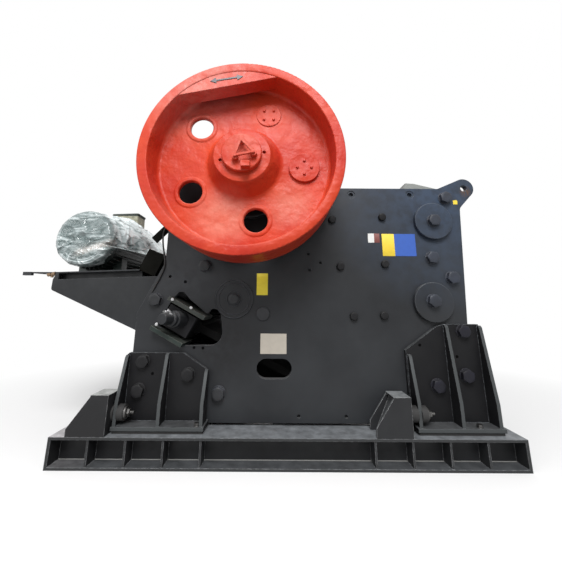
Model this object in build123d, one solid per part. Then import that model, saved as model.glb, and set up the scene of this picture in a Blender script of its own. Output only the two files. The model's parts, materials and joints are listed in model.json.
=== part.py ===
from build123d import *
import math
import os

os.makedirs("parts", exist_ok=True)

# A jaw crusher on its base frame, in millimetres.
# X points to the feed end, Y to the far side and Z up.
# The origin lies on the ground below the middle of the base frame.

# Clearances
curved_gap = 0.3
face_gap = 1.0

# Base frame
base_length = 3280.0
base_height = 200.0
base_half_width = 850.0
beam_width = 250.0
beam_flange = 18.0
beam_web = 20.0
beam_end_plate = 20.0
stiffener_first = 598.0
stiffener_pitch = 257.0
stiffener_count = 4
stiffener_thickness = 14.0
cross_width = 220.0
cross_places = (-1500.0, -760.0, 0.0, 1500.0)

# Side plates
plate_outer = 635.0
plate_thickness = 50.0
plate_rear = -1220.0
plate_knee_height = 1025.0
plate_shoulder_x = -1025.0
plate_shoulder_height = 1440.0
plate_top = 2110.0
plate_rear_top = 2190.0
plate_step = (85.0, 165.0)
plate_front_foot_x = 1410.0
plate_front_knee_x = 1458.0
plate_front_knee_height = 962.0
eye_root_x = 1520.0
eye_root_height = 1930.0
eye_root_radius = 60.0
eye_slope_start_x = 1343.0
eye_x = 1577.0
eye_height = 2117.0
eye_radius = 87.0
eye_hole_radius = 29.0
slot_x = -102.0
slot_height = 603.0
slot_length = 277.0
slot_width = 148.0
plate_hole_radius = 12.5
plate_hole_depth = 30.0
plate_holes = ((-976, 1317), (-845, 1274), (179, 1513), (281, 1440), (187, 1378), (87, 268), (448, 268))
bore_hole_radius = 20.0
bore_seat_radius = 36.0
bore_seat_depth = 6.0
bore_holes = ((569, 2050), (1090, 2053))
clamp_radius = 160.0
clamp_height = 40.0
clamp_edge = 4.0
clamp_places = ((1258, 1803), (1191, 1119))
ring_place = (-434, 1137)
ring_height = 8.0

# Toggle window in the side plates, as (x, z, corner radius)
window_corners = (
    (-1048, 925, 30),
    (-943, 1128, 20),
    (-890, 1190, 20),
    (-850, 1190, 20),
    (-795, 1130, 20),
    (-645, 1012, 12),
    (-622, 1056, 26),
    (-545, 1056, 60),
    (-520, 890, 60),
    (-520, 778, 96),
    (-812, 770, 24),
)

# Shaft, bearings and flywheels
shaft_x = -345.0
shaft_height = 2164.0
journal_radius = 140.0
eccentric_radius = 165.0
eccentric_throw = 18.0
eccentric_angle = 102.3
pitman_half_width = 540.0
housing_radius = 270.0
housing_inner = 560.0
housing_flange_radius = 345.0
housing_flange = 50.0
housing_nose_radius = 215.0
housing_nose = 135.0
wheel_gap = 40.0
wheel_radius = 756.0
wheel_width = 370.0
rim_thickness = 81.0
rim_taper = 8.0
rim_edge = 8.0
web_recess = 195.0
web_thickness = 28.0
web_fillet = 30.0
hub_face_radius = 210.0
hub_root_radius = 288.0
hub_face_recess = 40.0
hub_back_radius = 205.0
wheel_seat_radius = 120.0
wheel_hole_circle = 469.0
wheel_hole_radius = 91.0
wheel_hole_collar = 26.0
wheel_hole_rise = 8.0
wheel_hole_angle = 138.2
wheel_hole_step = 72.0
wheel_hole_count = 3
wheel_covers = ((66.4, 100.0, 8.0), (355.9, 119.0, 25.0))
weight_angle = 102.3
weight_chord = 567.0
weight_recess = 6.0
weight_depth = 125.0
hub_disc_radius = 147.0
hub_disc_height = 43.0
hub_tap_radius = 12.5
hub_tap_depth = 40.0
hub_tap_circle = 164.0
hub_tap_angles = (195.0, 7.0)
lock_post_radius = 24.0
lock_rise = 50.0
lock_points = ((-1, 78), (-41, -51), (91, -22))
lock_bar = 16.0
lock_bar_depth = 14.0
key_width = 64.0
key_height = 40.0
key_reach = 58.0
key_place = (36, -116)
groove_count = 10
groove_pitch = 31.0
groove_depth = 24.0
groove_mouth = 24.0
groove_floor = 13.0

# Crushing chamber
fixed_top = (1015.0, 2050.0)
feed_lip_corners = ((1082, 2183), (1158, 2179), (1350, 2132))
feed_lip_root = 1048.0
fixed_bottom = (855.0, 330.0)
swing_top = (165.0, 2050.0)
swing_bottom = (640.0, 330.0)
die_thickness = 90.0
die_half_width = 550.0
tooth_pitch = 110.0
tooth_depth = 30.0
cheek_thickness = 30.0
cheek_join_height = 1220.0
cheek_join_gap = 6.0
pitman_head_radius = 330.0
pitman_pocket_y = 270.0
pitman_pocket_width = 420.0
front_wall = 70.0
front_rib_outer_top = 1495.0
front_rib_outer_bottom = 1385.0
frame_rib = 50.0
front_rib_places = (-400.0, -135.0, 135.0, 400.0)
front_shelf_heights = (330.0, 700.0, 1080.0, 1460.0, 1840.0)

# Rear frame and toggle
rear_wall = 90.0
rear_rise = 120.0
rear_bottom = 260.0
rear_edge_drop = 20.0
toggle_front = (215.0, 440.0)
slide_angle = 28.0
slide_centre = (-742.0, 886.0)
seat_run = -40.0
beam_run = (-250.0, -55.0)
beam_block_run = (-284.0, -36.0)
beam_block_rise = (-88.0, 86.0)
rail_rise = (-113.0, 112.0)
rail_thickness = 32.0
rail_outer = 715.0
upper_rail_run = (-301.0, 32.0)
lower_rail_run = (-302.0, -16.0)
rail_inner_run = -440.0
toggle_end_radius = 55.0
toggle_thickness = 62.0
toggle_half_width = 450.0
beam_half_width = 560.0
beam_block_outer = 628.0
cylinder_start = (-868.0, -628.0, 971.0)
cylinder_end = (-942.0, -832.0, 983.0)
cylinder_radius = 66.0
cylinder_barrel_length = 88.0
cylinder_collar = 54.0
cylinder_collar_length = 30.0
cylinder_tip_radius = 42.0

# Feet
foot_plate = 25.0
foot_depth = 165.0
foot_back_plate = 35.0
foot_rib = 24.0
pad_thickness = 20.0
pad_inset = 10.0
rib_top_depth = 65.0
rib_knee_depth = 150.0
rib_knee_height = 395.0

# Stop boxes and buffers
stop_near_edge = 850.0
stop_width = 170.0
stop_plate = 16.0
buffer_radius = 55.0
buffer_height = 325.0
buffer_y = 745.0
buffer_length = 45.0

# Motor and its support
bracket_outer = 500.0
bracket_plate = 25.0
bracket_left = -2053.0
bracket_tip_depth = 88.0
bracket_ear = (22.0, 45.0)
bracket_root_drop = 175.0
seat_middle_x = -1668.0
seat_top = 1378.0
seat_tilt = 2.26
seat_right = -1301.0
seat_plate = 12.0
seat_inset = 18.0
rail_height = 54.0
rail_setback = 60.0
rail_web = 14.0
motor_x = -1878.0
motor_shaft_height = 315.0
motor_radius = 235.0
fin_height = 38.0
fin_count = 40
fin_thickness = 7.0
motor_foot_places = (-60.0, 480.0)
fan_cover_length = 150.0
shield_thickness = 25.0
shield_rim = 12.0
motor_body_start = -250.0
motor_body_end = 640.0
motor_shaft_radius = 42.5
pulley_radius = 195.0
pulley_rim = 12.0
terminal_width = 315.0
terminal_depth = 220.0
terminal_near = 290.0
terminal_height = 190.0
terminal_lid = 14.0
fan_slot_rings = 5
fan_slot_first = 60.0
fan_slot_pitch = 32.0
fan_slot_width = 14.0
fan_slot_depth = 12.0
crossbeam_width = 160.0
crossbeam_height = 207.0
crossbeam_lean = 22.5
crossbeam_overlap = 20.0
rear_arm_tip = -2335.0
rear_arm_y = 480.0
rear_arm_height = 1365.0
rear_arm_bar = 12.0
rear_arm_foot_y = -90.0
rear_arm_end = (75.0, 30.0)
guard_bar_end = (-1161.0, 1636.0)
guard_bar_width = 66.0
guard_bar_length = 290.0
guard_bar_thickness = 16.0
guard_bar_angle = 47.0


def outline(*corners):
    """Face from corners given as (x, z) or (x, z, corner radius)."""
    points = [(corner[0], corner[1]) for corner in corners]
    radii = [corner[2] if len(corner) > 2 else 0 for corner in corners]
    if any(radii):
        return make_face(FilletPolyline(*points, radius=radii, close=True))
    return make_face(Polyline(*points, close=True))


def across(face, y_from, y_to):
    """Solid that carries a face in X and Z from one Y to another."""
    low, high = sorted((y_from, y_to))
    return extrude(Plane.XZ.offset(-high) * face, amount=high - low)


def rod(x, z, radius, y_from, y_to):
    """Round bar along Y."""
    return across(Pos(x, z) * Circle(radius), y_from, y_to)


def block(x, y, z):
    """Box from pairs of low and high values."""
    size = [pair[1] - pair[0] for pair in (x, y, z)]
    centre = [(pair[1] + pair[0]) / 2 for pair in (x, y, z)]
    return Pos(*centre) * Box(*size)


def turned(x, z, points):
    """Solid turned about a line along Y, from corners given as (radius, y) or (radius, y, corner radius)."""
    return revolve(Pos(x, 0, z) * outline(*points), Axis((x, 0, z), (0, 1, 0)))


def far_twin(solid):
    """The same piece on the far side."""
    return mirror(solid, about=Plane.XZ)


def polar(x, z, radius, angle):
    """Point in X and Z at an angle from +X, anticlockwise as seen from the near side."""
    turn = math.radians(angle)
    return (x + radius * math.cos(turn), z + radius * math.sin(turn))


def beside(point_a, point_b, distance):
    """The line from a to b, moved sideways to its left by a distance."""
    run_x = point_b[0] - point_a[0]
    run_z = point_b[1] - point_a[1]
    length = math.hypot(run_x, run_z)
    shift_x = -run_z / length * distance
    shift_z = run_x / length * distance
    moved_a = (point_a[0] + shift_x, point_a[1] + shift_z)
    moved_b = (point_b[0] + shift_x, point_b[1] + shift_z)
    return moved_a, moved_b


def at_height(point_a, point_b, height):
    """X on the line through two points at a height."""
    share = (height - point_a[1]) / (point_b[1] - point_a[1])
    return point_a[0] + share * (point_b[0] - point_a[0])


def touching(start, centre, radius, side):
    """Point where a line from start touches a circle, on its left (1) or right (-1)."""
    reach = math.hypot(start[0] - centre[0], start[1] - centre[1])
    back = math.degrees(math.atan2(start[1] - centre[1], start[0] - centre[0]))
    swing = math.degrees(math.acos(radius / reach))
    return polar(centre[0], centre[1], radius, back + side * swing)


# Ribs of the rear casting, from its wall inwards, as (x, z, corner radius)
rear_shelf_corners = (
    (plate_rear + rear_wall - 10, 470),
    (plate_rear + 360, 470, 40),
    (plate_rear + 315, 660, 40),
    (plate_rear + rear_wall - 10, 760),
)
rear_rib_corners = (
    (plate_shoulder_x + 15, plate_shoulder_height - 170),
    (plate_shoulder_x + 265, plate_shoulder_height - 150, 30),
    (plate_shoulder_x + 325, plate_shoulder_height - 50, 30),
    (plate_shoulder_x + 25, plate_shoulder_height),
)

plate_inner = plate_outer - plate_thickness
plate_bottom = base_height + pad_thickness
beam_inner = base_half_width - beam_width
housing_outer = plate_outer + housing_nose
wheel_inner = housing_outer + wheel_gap
wheel_outer = wheel_inner + wheel_width


# Base frame

def base_beam():
    """Near beam: I-section with stiffeners on its outer side and end plates."""
    web_y = -base_half_width + beam_width / 2
    half = base_length / 2
    bottom = block((-half, half), (-base_half_width, -beam_inner), (0, beam_flange))
    top = block((-half, half), (-base_half_width, -beam_inner), (base_height - beam_flange, base_height))
    web = block((-half, half), (web_y - beam_web / 2, web_y + beam_web / 2), (0, base_height))
    beam = bottom + top + web
    for number in range(stiffener_count):
        place = stiffener_first + number * stiffener_pitch
        for side in (-1, 1):
            middle = side * place
            beam += block(
                (middle - stiffener_thickness / 2, middle + stiffener_thickness / 2),
                (-base_half_width + 6, -beam_inner - 6),
                (0, base_height),
            )
    for side in (-1, 1):
        edge = side * half
        beam += block(
            tuple(sorted((edge, edge - side * beam_end_plate))),
            (-base_half_width, -beam_inner),
            (0, base_height),
        )
    return beam


def cross_member(x):
    """Box member between the beams."""
    return block((x - cross_width / 2, x + cross_width / 2), (-beam_inner, beam_inner), (0, base_height))


# Side plates

def side_plate():
    """Near side plate with its lifting eye, toggle window, slot and bearing saddle."""
    eye_centre = (eye_x, eye_height)
    slope_start = (eye_slope_start_x, plate_top)
    root = (eye_root_x, eye_root_height)
    upper_touch = touching(slope_start, eye_centre, eye_radius, -1)
    lower_touch = touching(root, eye_centre, eye_radius, 1)
    face = outline(
        (plate_rear, plate_bottom),
        (plate_front_foot_x, plate_bottom),
        (plate_front_knee_x, plate_front_knee_height),
        (*root, eye_root_radius),
        lower_touch,
        upper_touch,
        slope_start,
        (plate_step[1], plate_top),
        (plate_step[0], plate_rear_top),
        (plate_shoulder_x, plate_rear_top),
        (plate_shoulder_x, plate_shoulder_height),
        (plate_rear, plate_knee_height),
    )
    face += Pos(*eye_centre) * Circle(eye_radius)
    face -= Pos(*eye_centre) * Circle(eye_hole_radius)
    saddle = housing_radius + curved_gap
    face -= Pos(shaft_x, shaft_height) * Circle(saddle)
    face -= outline(
        (shaft_x - saddle, shaft_height),
        (shaft_x + saddle, shaft_height),
        (shaft_x + saddle, plate_rear_top + 1),
        (shaft_x - saddle, plate_rear_top + 1),
    )
    face -= outline(*window_corners)
    face -= Pos(slot_x, slot_height) * SlotOverall(slot_length, slot_width)
    plate = across(face, -plate_outer, -plate_inner)
    for x, z in plate_holes:
        plate -= rod(x, z, plate_hole_radius, -plate_outer - 1, -plate_outer + plate_hole_depth)
    for x, z in bore_holes:
        plate -= rod(x, z, bore_hole_radius, -plate_outer - 1, -plate_outer + plate_hole_depth)
        plate -= rod(x, z, bore_seat_radius, -plate_outer - 1, -plate_outer + bore_seat_depth)
    return plate


def clamp_discs():
    """Two proud cover discs and one low ring on the near side plate."""
    discs = []
    for place, height in ((clamp_places[0], clamp_height), (clamp_places[1], clamp_height), (ring_place, ring_height)):
        disc = rod(*place, clamp_radius, -plate_outer - height, -plate_outer)
        discs.append(chamfer(disc.faces().sort_by(Axis.Y)[0].edges(), clamp_edge))
    return discs


# Crushing chamber

def die(top, bottom, side):
    """Corrugated jaw die whose tooth tips lie on the line from top to bottom."""
    back_top, back_bottom = beside(top, bottom, side * die_thickness)
    face = outline(top, bottom, back_bottom, back_top)
    solid = across(face, -die_half_width, die_half_width)
    length = math.hypot(top[0] - bottom[0], top[1] - bottom[1])
    away = Vector(back_top[0] - top[0], 0, back_top[1] - top[1]).normalized()
    down = Vector(bottom[0] - top[0], 0, bottom[1] - top[1]).normalized()
    count = int(2 * die_half_width / tooth_pitch)
    for number in range(count):
        y = -die_half_width + (number + 0.5) * tooth_pitch
        start = Vector(top[0], y, top[1]) - down * 20 - away * 1
        valley = Plane(origin=start, x_dir=(0, 1, 0), z_dir=down)
        depth_sign = 1 if valley.y_dir.dot(away) > 0 else -1
        half = tooth_pitch * 0.42
        notch = make_face(
            Polyline(
                (-half, 0),
                (half, 0),
                (half * 0.35, depth_sign * tooth_depth),
                (-half * 0.35, depth_sign * tooth_depth),
                close=True,
            )
        )
        solid -= extrude(valley * notch, amount=length + 40)
    return solid


def cheek_plates():
    """Upper and lower liners on the near side plate, between the two jaws."""
    left_top, left_bottom = beside(swing_top, swing_bottom, -die_thickness * 0.9)
    right_top, right_bottom = beside(fixed_top, fixed_bottom, die_thickness)
    liners = []
    spans = (
        (cheek_join_height + cheek_join_gap / 2, fixed_top[1] - 10),
        (fixed_bottom[1] + 20, cheek_join_height - cheek_join_gap / 2),
    )
    for low, high in spans:
        face = outline(
            (at_height(left_top, left_bottom, low), low),
            (at_height(right_top, right_bottom, low) - 2, low),
            (at_height(right_top, right_bottom, high) - 2, high),
            (at_height(left_top, left_bottom, high), high),
        )
        liners.append(across(face, -plate_inner, -plate_inner + cheek_thickness))
    return liners


def front_frame():
    """Ribbed casting behind the fixed jaw, from side plate to side plate."""
    face_top, face_bottom = beside(fixed_top, fixed_bottom, die_thickness)
    wall_top = (at_height(face_top, face_bottom, plate_top - 10), plate_top - 10)
    wall_bottom = (at_height(face_top, face_bottom, plate_bottom), plate_bottom)
    back_top, back_bottom = beside(wall_top, wall_bottom, front_wall)
    wall = outline(wall_top, wall_bottom, (back_bottom[0], plate_bottom), (back_top[0], plate_top - 10))
    casting = across(wall, -plate_inner, plate_inner)
    rib = outline(
        (wall_top[0] + 10, plate_top - 10),
        (wall_bottom[0] + 10, plate_bottom),
        (front_rib_outer_bottom, plate_bottom),
        (front_rib_outer_top - 100, plate_top - 80, 40),
        (front_rib_outer_top - 220, plate_top - 10),
    )
    edges = [-plate_inner + frame_rib / 2, *front_rib_places, plate_inner - frame_rib / 2]
    for y in edges:
        casting += across(rib, y - frame_rib / 2, y + frame_rib / 2)
    for height in front_shelf_heights:
        shelf_start = at_height(wall_top, wall_bottom, height) + 10
        shelf_end = at_height(
            (front_rib_outer_bottom, plate_bottom), (front_rib_outer_top - 100, plate_top - 80), height
        )
        shelf_end -= 60
        casting += block(
            (shelf_start, shelf_end),
            (-plate_inner, plate_inner),
            (height - frame_rib / 2, height + frame_rib / 2),
        )
    return casting


def feed_lip():
    """Bare steel wedge on top of the front frame, behind the fixed jaw die."""
    face = outline((feed_lip_root, plate_top - 10), *feed_lip_corners, (feed_lip_corners[-1][0], plate_top - 10))
    return across(face, -plate_inner + face_gap, plate_inner - face_gap)


def pitman():
    """Swing jaw casting: a round head on the shaft and a ribbed body down to the toggle seat."""
    back_top, back_bottom = beside(swing_top, swing_bottom, -die_thickness)
    head_front = polar(shaft_x, shaft_height, pitman_head_radius, 62)
    head_rear = polar(shaft_x, shaft_height, pitman_head_radius, 222)
    body = outline(
        head_front,
        (at_height(back_top, back_bottom, back_top[1] + 40), back_top[1] + 40, 30),
        back_bottom,
        (back_bottom[0] - 110, back_bottom[1] - 20, 20),
        (toggle_front[0] + 60, toggle_front[1] - 90, 20),
        (toggle_front[0] - 20, toggle_front[1] + 100, 20),
        (toggle_front[0] - 60, toggle_front[1] + 260, 60),
        head_rear,
    )
    body += Pos(shaft_x, shaft_height) * Circle(pitman_head_radius)
    casting = across(body, -pitman_half_width, pitman_half_width)
    bore = eccentric_radius + eccentric_throw + curved_gap
    casting -= rod(shaft_x, shaft_height, bore, -pitman_half_width - 1, pitman_half_width + 1)
    casting -= rod(
        toggle_front[0], toggle_front[1], toggle_end_radius + curved_gap, -pitman_half_width - 1,
        pitman_half_width + 1,
    )
    pocket = outline(
        (shaft_x - 120, shaft_height - 420, 40),
        (shaft_x + 120, shaft_height - 480, 40),
        (toggle_front[0] + 140, toggle_front[1] + 300, 40),
        (toggle_front[0] - 10, toggle_front[1] + 360, 40),
    )
    for y in (-pitman_pocket_y, pitman_pocket_y):
        casting -= across(pocket, y - pitman_pocket_width / 2, y + pitman_pocket_width / 2)
    return casting


# Rear frame and toggle

def rear_frame():
    """Ribbed casting at the motor end, with a seat for the toggle beam."""
    knee = plate_knee_height
    shoulder = plate_shoulder_height
    wall = outline(
        (plate_rear, rear_bottom),
        (plate_rear + rear_wall, rear_bottom),
        (plate_rear + rear_wall, knee - rear_edge_drop),
        (plate_shoulder_x + rear_wall, shoulder - rear_edge_drop),
        (plate_shoulder_x + rear_wall, shoulder + rear_rise),
        (plate_shoulder_x, shoulder + rear_rise),
        (plate_shoulder_x, shoulder),
        (plate_rear, knee),
    )
    casting = across(wall, -plate_inner, plate_inner)
    for face in (outline(*rear_shelf_corners), outline(*rear_rib_corners)):
        casting += across(face, -plate_inner, plate_inner)
    return casting


def along_slide(run, rise):
    """Face between two distances along the slide and two across it."""
    centre = Pos((run[0] + run[1]) / 2, (rise[0] + rise[1]) / 2)
    return Location(slide_centre, -slide_angle) * centre * Rectangle(run[1] - run[0], rise[1] - rise[0])


def on_slide(run, rise):
    """Point at a distance along the slide and across it."""
    turn = math.radians(slide_angle)
    x = slide_centre[0] + run * math.cos(turn) + rise * math.sin(turn)
    z = slide_centre[1] - run * math.sin(turn) + rise * math.cos(turn)
    return (x, z)


toggle_rear = on_slide(seat_run, 0)


def toggle_plate():
    """Plate between the toggle beam and the pitman, with round ends."""
    up_a, up_b = beside(toggle_front, toggle_rear, toggle_thickness / 2)
    low_a, low_b = beside(toggle_front, toggle_rear, -toggle_thickness / 2)
    face = outline(up_a, up_b, low_b, low_a)
    for end in (toggle_front, toggle_rear):
        face += Pos(*end) * Circle(toggle_end_radius)
    return across(face, -toggle_half_width, toggle_half_width)


def toggle_beam():
    """Cross beam with the toggle seat, and the blocks on its ends in the windows."""
    face = along_slide(beam_run, (rail_rise[0] + curved_gap, rail_rise[1] - curved_gap))
    beam = across(face, -beam_half_width, beam_half_width)
    beam += across(along_slide(beam_block_run, beam_block_rise), -beam_block_outer, beam_block_outer)
    seat_reach = toggle_half_width + face_gap
    return beam - rod(*toggle_rear, toggle_end_radius + curved_gap, -seat_reach, seat_reach)


def toggle_rails(plate, wall):
    """Near upper and lower rails, welded to the side plate and the rear frame."""
    rails = []
    for run, low, high in (
        (upper_rail_run, rail_rise[1], rail_rise[1] + rail_thickness),
        (lower_rail_run, rail_rise[0] - rail_thickness, rail_rise[0]),
    ):
        outer = across(along_slide(run, (low, high)), -rail_outer, -plate_inner)
        inner = across(along_slide((rail_inner_run, run[1]), (low, high)), -plate_inner, -430)
        rails.append((outer + inner) - plate - wall)
    return rails


def setting_cylinder():
    """Near hydraulic cylinder that sets the gap, on the beam's end block and aimed outwards."""
    start = Vector(*cylinder_start)
    axis = Vector(*cylinder_end) - start
    collar_end = cylinder_barrel_length + cylinder_collar_length
    profile = outline(
        (0, -cylinder_radius),
        (cylinder_radius, -cylinder_radius),
        (cylinder_radius, cylinder_barrel_length, 8),
        (cylinder_collar, cylinder_barrel_length),
        (cylinder_collar, collar_end),
        (cylinder_tip_radius, collar_end + 8),
        (cylinder_tip_radius, axis.length, 6),
        (0, axis.length),
    )
    cylinder = Plane(origin=start, z_dir=axis).location * Rot(90, 0, 0) * revolve(profile, Axis.Y)
    reach = 2 * cylinder_radius
    behind = block(
        (start.X - reach, start.X + reach),
        (-beam_block_outer, 0),
        (start.Z - reach, start.Z + reach),
    )
    return cylinder - behind


# Bearings, shaft and flywheels

def bearing_housing():
    """Near bearing housing: barrel in the saddle, flange on the plate and a nose."""
    bore = journal_radius + curved_gap
    flange_face = plate_outer + housing_flange
    return turned(
        shaft_x,
        shaft_height,
        [
            (bore, -housing_inner),
            (housing_radius, -housing_inner),
            (housing_radius, -plate_outer),
            (housing_flange_radius, -plate_outer),
            (housing_flange_radius, -flange_face + 10),
            (housing_flange_radius - 10, -flange_face),
            (housing_nose_radius + 15, -flange_face),
            (housing_nose_radius, -flange_face - 15),
            (housing_nose_radius, -housing_outer),
            (bore, -housing_outer),
        ],
    )


def eccentric_shaft():
    """Shaft with wheel seats and journals, and an eccentric barrel in the pitman."""
    seat_start = wheel_outer - wheel_width
    hub_end = wheel_outer - hub_face_recess
    shaft = turned(
        shaft_x,
        shaft_height,
        [
            (0, -hub_end),
            (wheel_seat_radius, -hub_end),
            (wheel_seat_radius, -seat_start + 30),
            (journal_radius, -seat_start + 30),
            (journal_radius, seat_start - 30),
            (wheel_seat_radius, seat_start - 30),
            (wheel_seat_radius, hub_end),
            (0, hub_end),
        ],
    )
    x, z = polar(shaft_x, shaft_height, eccentric_throw, eccentric_angle + 180)
    return shaft + rod(x, z, eccentric_radius, -pitman_half_width, pitman_half_width)


def flywheel():
    """Near flywheel: dished web with collared holes, conical hub and counterweight segment."""
    face = -wheel_outer
    rim_inner = wheel_radius - rim_thickness
    web_front = face + web_recess
    web_back = web_front + web_thickness
    back = face + wheel_width
    bore = wheel_seat_radius + curved_gap
    wheel = turned(
        shaft_x,
        shaft_height,
        [
            (bore, face + hub_face_recess),
            (hub_face_radius, face + hub_face_recess, 6),
            (hub_root_radius, web_front, 40),
            (rim_inner, web_front, web_fillet),
            (rim_inner + rim_taper, face, rim_edge),
            (wheel_radius, face, rim_edge),
            (wheel_radius, back),
            (rim_inner + rim_taper, back),
            (rim_inner, web_back),
            (hub_back_radius + 20, web_back),
            (hub_back_radius, back),
            (bore, back),
        ],
    )
    cut_x, cut_z = polar(shaft_x, shaft_height, weight_chord + 300, weight_angle)
    beyond = Location((cut_x, cut_z), weight_angle) * Rectangle(600, 1600)
    segment = (Pos(shaft_x, shaft_height) * Circle(rim_inner + rim_taper + 2)) & beyond
    wheel += across(segment, face + weight_recess, face + weight_recess + weight_depth)
    collar = wheel_hole_radius + wheel_hole_collar
    for number in range(wheel_hole_count):
        x, z = polar(shaft_x, shaft_height, wheel_hole_circle, wheel_hole_angle + number * wheel_hole_step)
        wheel += turned(
            x,
            z,
            [
                (wheel_hole_radius - 20, web_front + 10),
                (wheel_hole_radius - 20, web_front - wheel_hole_rise),
                (collar, web_front - wheel_hole_rise, wheel_hole_rise),
                (collar + 12, web_front),
                (collar + 12, web_front + 10),
            ],
        )
        wheel -= turned(
            x,
            z,
            [
                (0, web_front - 2 * wheel_hole_rise),
                (wheel_hole_radius + wheel_hole_rise, web_front - 2 * wheel_hole_rise),
                (wheel_hole_radius + wheel_hole_rise, web_front - wheel_hole_rise),
                (wheel_hole_radius, web_front, wheel_hole_rise),
                (wheel_hole_radius, web_back + 20),
                (0, web_back + 20),
            ],
        )
    for angle in hub_tap_angles:
        x, z = polar(shaft_x, shaft_height, hub_tap_circle, angle)
        wheel -= rod(x, z, hub_tap_radius, face, face + hub_face_recess + hub_tap_depth)
    return wheel


def belt_grooves(wheel):
    """The far flywheel's rim with grooves for the belts."""
    middle = wheel_outer - wheel_width / 2
    for number in range(groove_count):
        y = middle + (number - (groove_count - 1) / 2) * groove_pitch
        wheel -= turned(
            shaft_x,
            shaft_height,
            [
                (wheel_radius + 2, y - groove_mouth / 2),
                (wheel_radius + 2, y + groove_mouth / 2),
                (wheel_radius - groove_depth, y + groove_floor / 2),
                (wheel_radius - groove_depth, y - groove_floor / 2),
            ],
        )
    return wheel


def hub_cover():
    """Near hub cover: a disc on the hub face with a three-sided frame on posts and a key block."""
    seat = -wheel_outer + hub_face_recess
    front = seat - hub_disc_height
    disc = rod(shaft_x, shaft_height, hub_disc_radius, front, seat)
    disc = chamfer(disc.faces().sort_by(Axis.Y)[0].edges(), 6)
    frame_back = front - lock_rise + lock_bar_depth
    posts = [(shaft_x + x, shaft_height + z) for x, z in lock_points]
    for start, end in zip(posts, posts[1:] + posts[:1]):
        left_a, left_b = beside(start, end, lock_bar / 2)
        right_a, right_b = beside(start, end, -lock_bar / 2)
        disc += across(outline(left_a, left_b, right_b, right_a), front - lock_rise, frame_back)
    for post in posts:
        disc += rod(*post, lock_post_radius, frame_back, front + 2)
        disc += rod(*post, lock_bar / 2 + 2, front - lock_rise, frame_back + 2)
    key_x = shaft_x + key_place[0]
    key_z = shaft_height + key_place[1]
    disc += block(
        (key_x - key_width / 2, key_x + key_width / 2),
        (front - key_reach, front + 2),
        (key_z - key_height / 2, key_z + key_height / 2),
    )
    return disc


def balance_covers(side):
    """Discs bolted over two of the web's five hole places."""
    seat = wheel_outer - web_recess
    discs = []
    for angle, radius, thickness in wheel_covers:
        x, z = polar(shaft_x, shaft_height, wheel_hole_circle, angle)
        disc = rod(x, z, radius, side * seat, side * (seat + thickness))
        discs.append(chamfer(disc.faces().sort_by(Axis.Y)[0 if side < 0 else -1].edges(), 3))
    return discs


# Feet, pads and stops

def foot(corners, rib_places, x_from, x_to):
    """Near foot: back plate on the side plate, three ribs and a foot plate."""
    back = across(outline(*corners), -plate_outer - foot_back_plate, -plate_outer)
    sole_top = plate_bottom + foot_plate
    sole = block((x_from, x_to), (-plate_outer - foot_depth, -plate_outer), (plate_bottom, sole_top))
    solid = back + sole
    for x, top in rib_places:
        profile = make_face(
            Polyline(
                (-plate_outer - foot_back_plate + 5, sole_top - 5),
                (-plate_outer - rib_knee_depth, sole_top - 5),
                (-plate_outer - rib_knee_depth, rib_knee_height),
                (-plate_outer - rib_top_depth, top - 15),
                (-plate_outer - rib_top_depth + 15, top),
                (-plate_outer - foot_back_plate + 5, top),
                close=True,
            )
        )
        solid += extrude(Plane.YZ.offset(x - foot_rib / 2) * profile, amount=foot_rib)
    return solid


rear_foot_span = (-1250.0, -595.0)
front_foot_span = (920.0, 1540.0)


def rear_foot():
    corners = [
        (-1246, plate_bottom + 5),
        (-612, plate_bottom + 5),
        (-624, 606),
        (-806, 722),
        (-1228, 722),
        (-1246, 706),
    ]
    return foot(corners, ((-1234, 706), (-925, 722), (-618, 606)), *rear_foot_span)


def front_foot():
    corners = [
        (925, plate_bottom + 5),
        (1530, plate_bottom + 5),
        (1518, 949),
        (1251, 949),
        (1188, 932),
        (925, 752),
    ]
    return foot(corners, ((947, 720), (1251, 945), (1516, 940)), *front_foot_span)


def foot_pads():
    """Rubber pads between the four feet and the base."""
    pads = []
    near_y = (-plate_outer - foot_depth + pad_inset, -plate_outer - pad_inset)
    for span in (rear_foot_span, front_foot_span):
        pad = block((span[0] + pad_inset, span[1] - pad_inset), near_y, (base_height, plate_bottom))
        pads.append(pad)
        pads.append(far_twin(pad))
    return pads


def stop_box(corners):
    """Near stop box: two side plates, a back plate, a cap and a recessed sloped plate."""
    inner = -stop_near_edge + stop_width
    face = outline(*corners)
    sides = across(face, -stop_near_edge, -stop_near_edge + stop_plate)
    sides += across(face, inner - stop_plate, inner)
    left = corners[0][0]
    right = corners[3][0]
    cap_left = corners[2][0]
    top = corners[2][1]
    back = block((right - stop_plate, right), (-stop_near_edge, inner), (base_height, top))
    cap = block((cap_left - 6, right), (-stop_near_edge, inner), (top - stop_plate, top))
    slope = outline(
        (left + 40, base_height),
        (left + 60, base_height),
        (cap_left + 44, top - stop_plate / 2),
        (cap_left + 24, top - stop_plate / 2),
    )
    return sides + back + cap + across(slope, -stop_near_edge + 5, inner - 5)


rear_stop_corners = [(-1530, base_height), (-1530, 250), (-1380, 464), (-1260, 464), (-1260, base_height)]
front_stop_corners = [(610, base_height), (610, 262), (748, 460), (864, 460), (864, base_height)]


def stop_buffers():
    """Round buffers on both sides of the first rib of each foot."""
    pieces = []
    for stop_face, rib_x in ((-1260, -1234), (864, 947)):
        near_side = rib_x - foot_rib / 2
        far_side = rib_x + foot_rib / 2
        for start, end in ((stop_face, near_side), (far_side, far_side + buffer_length)):
            length = end - start
            disc = Pos((start + end) / 2, -buffer_y, buffer_height) * Rot(0, 90, 0) * Cylinder(
                buffer_radius, length
            )
            pieces.append(disc)
            pieces.append(far_twin(disc))
    return pieces


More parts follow.
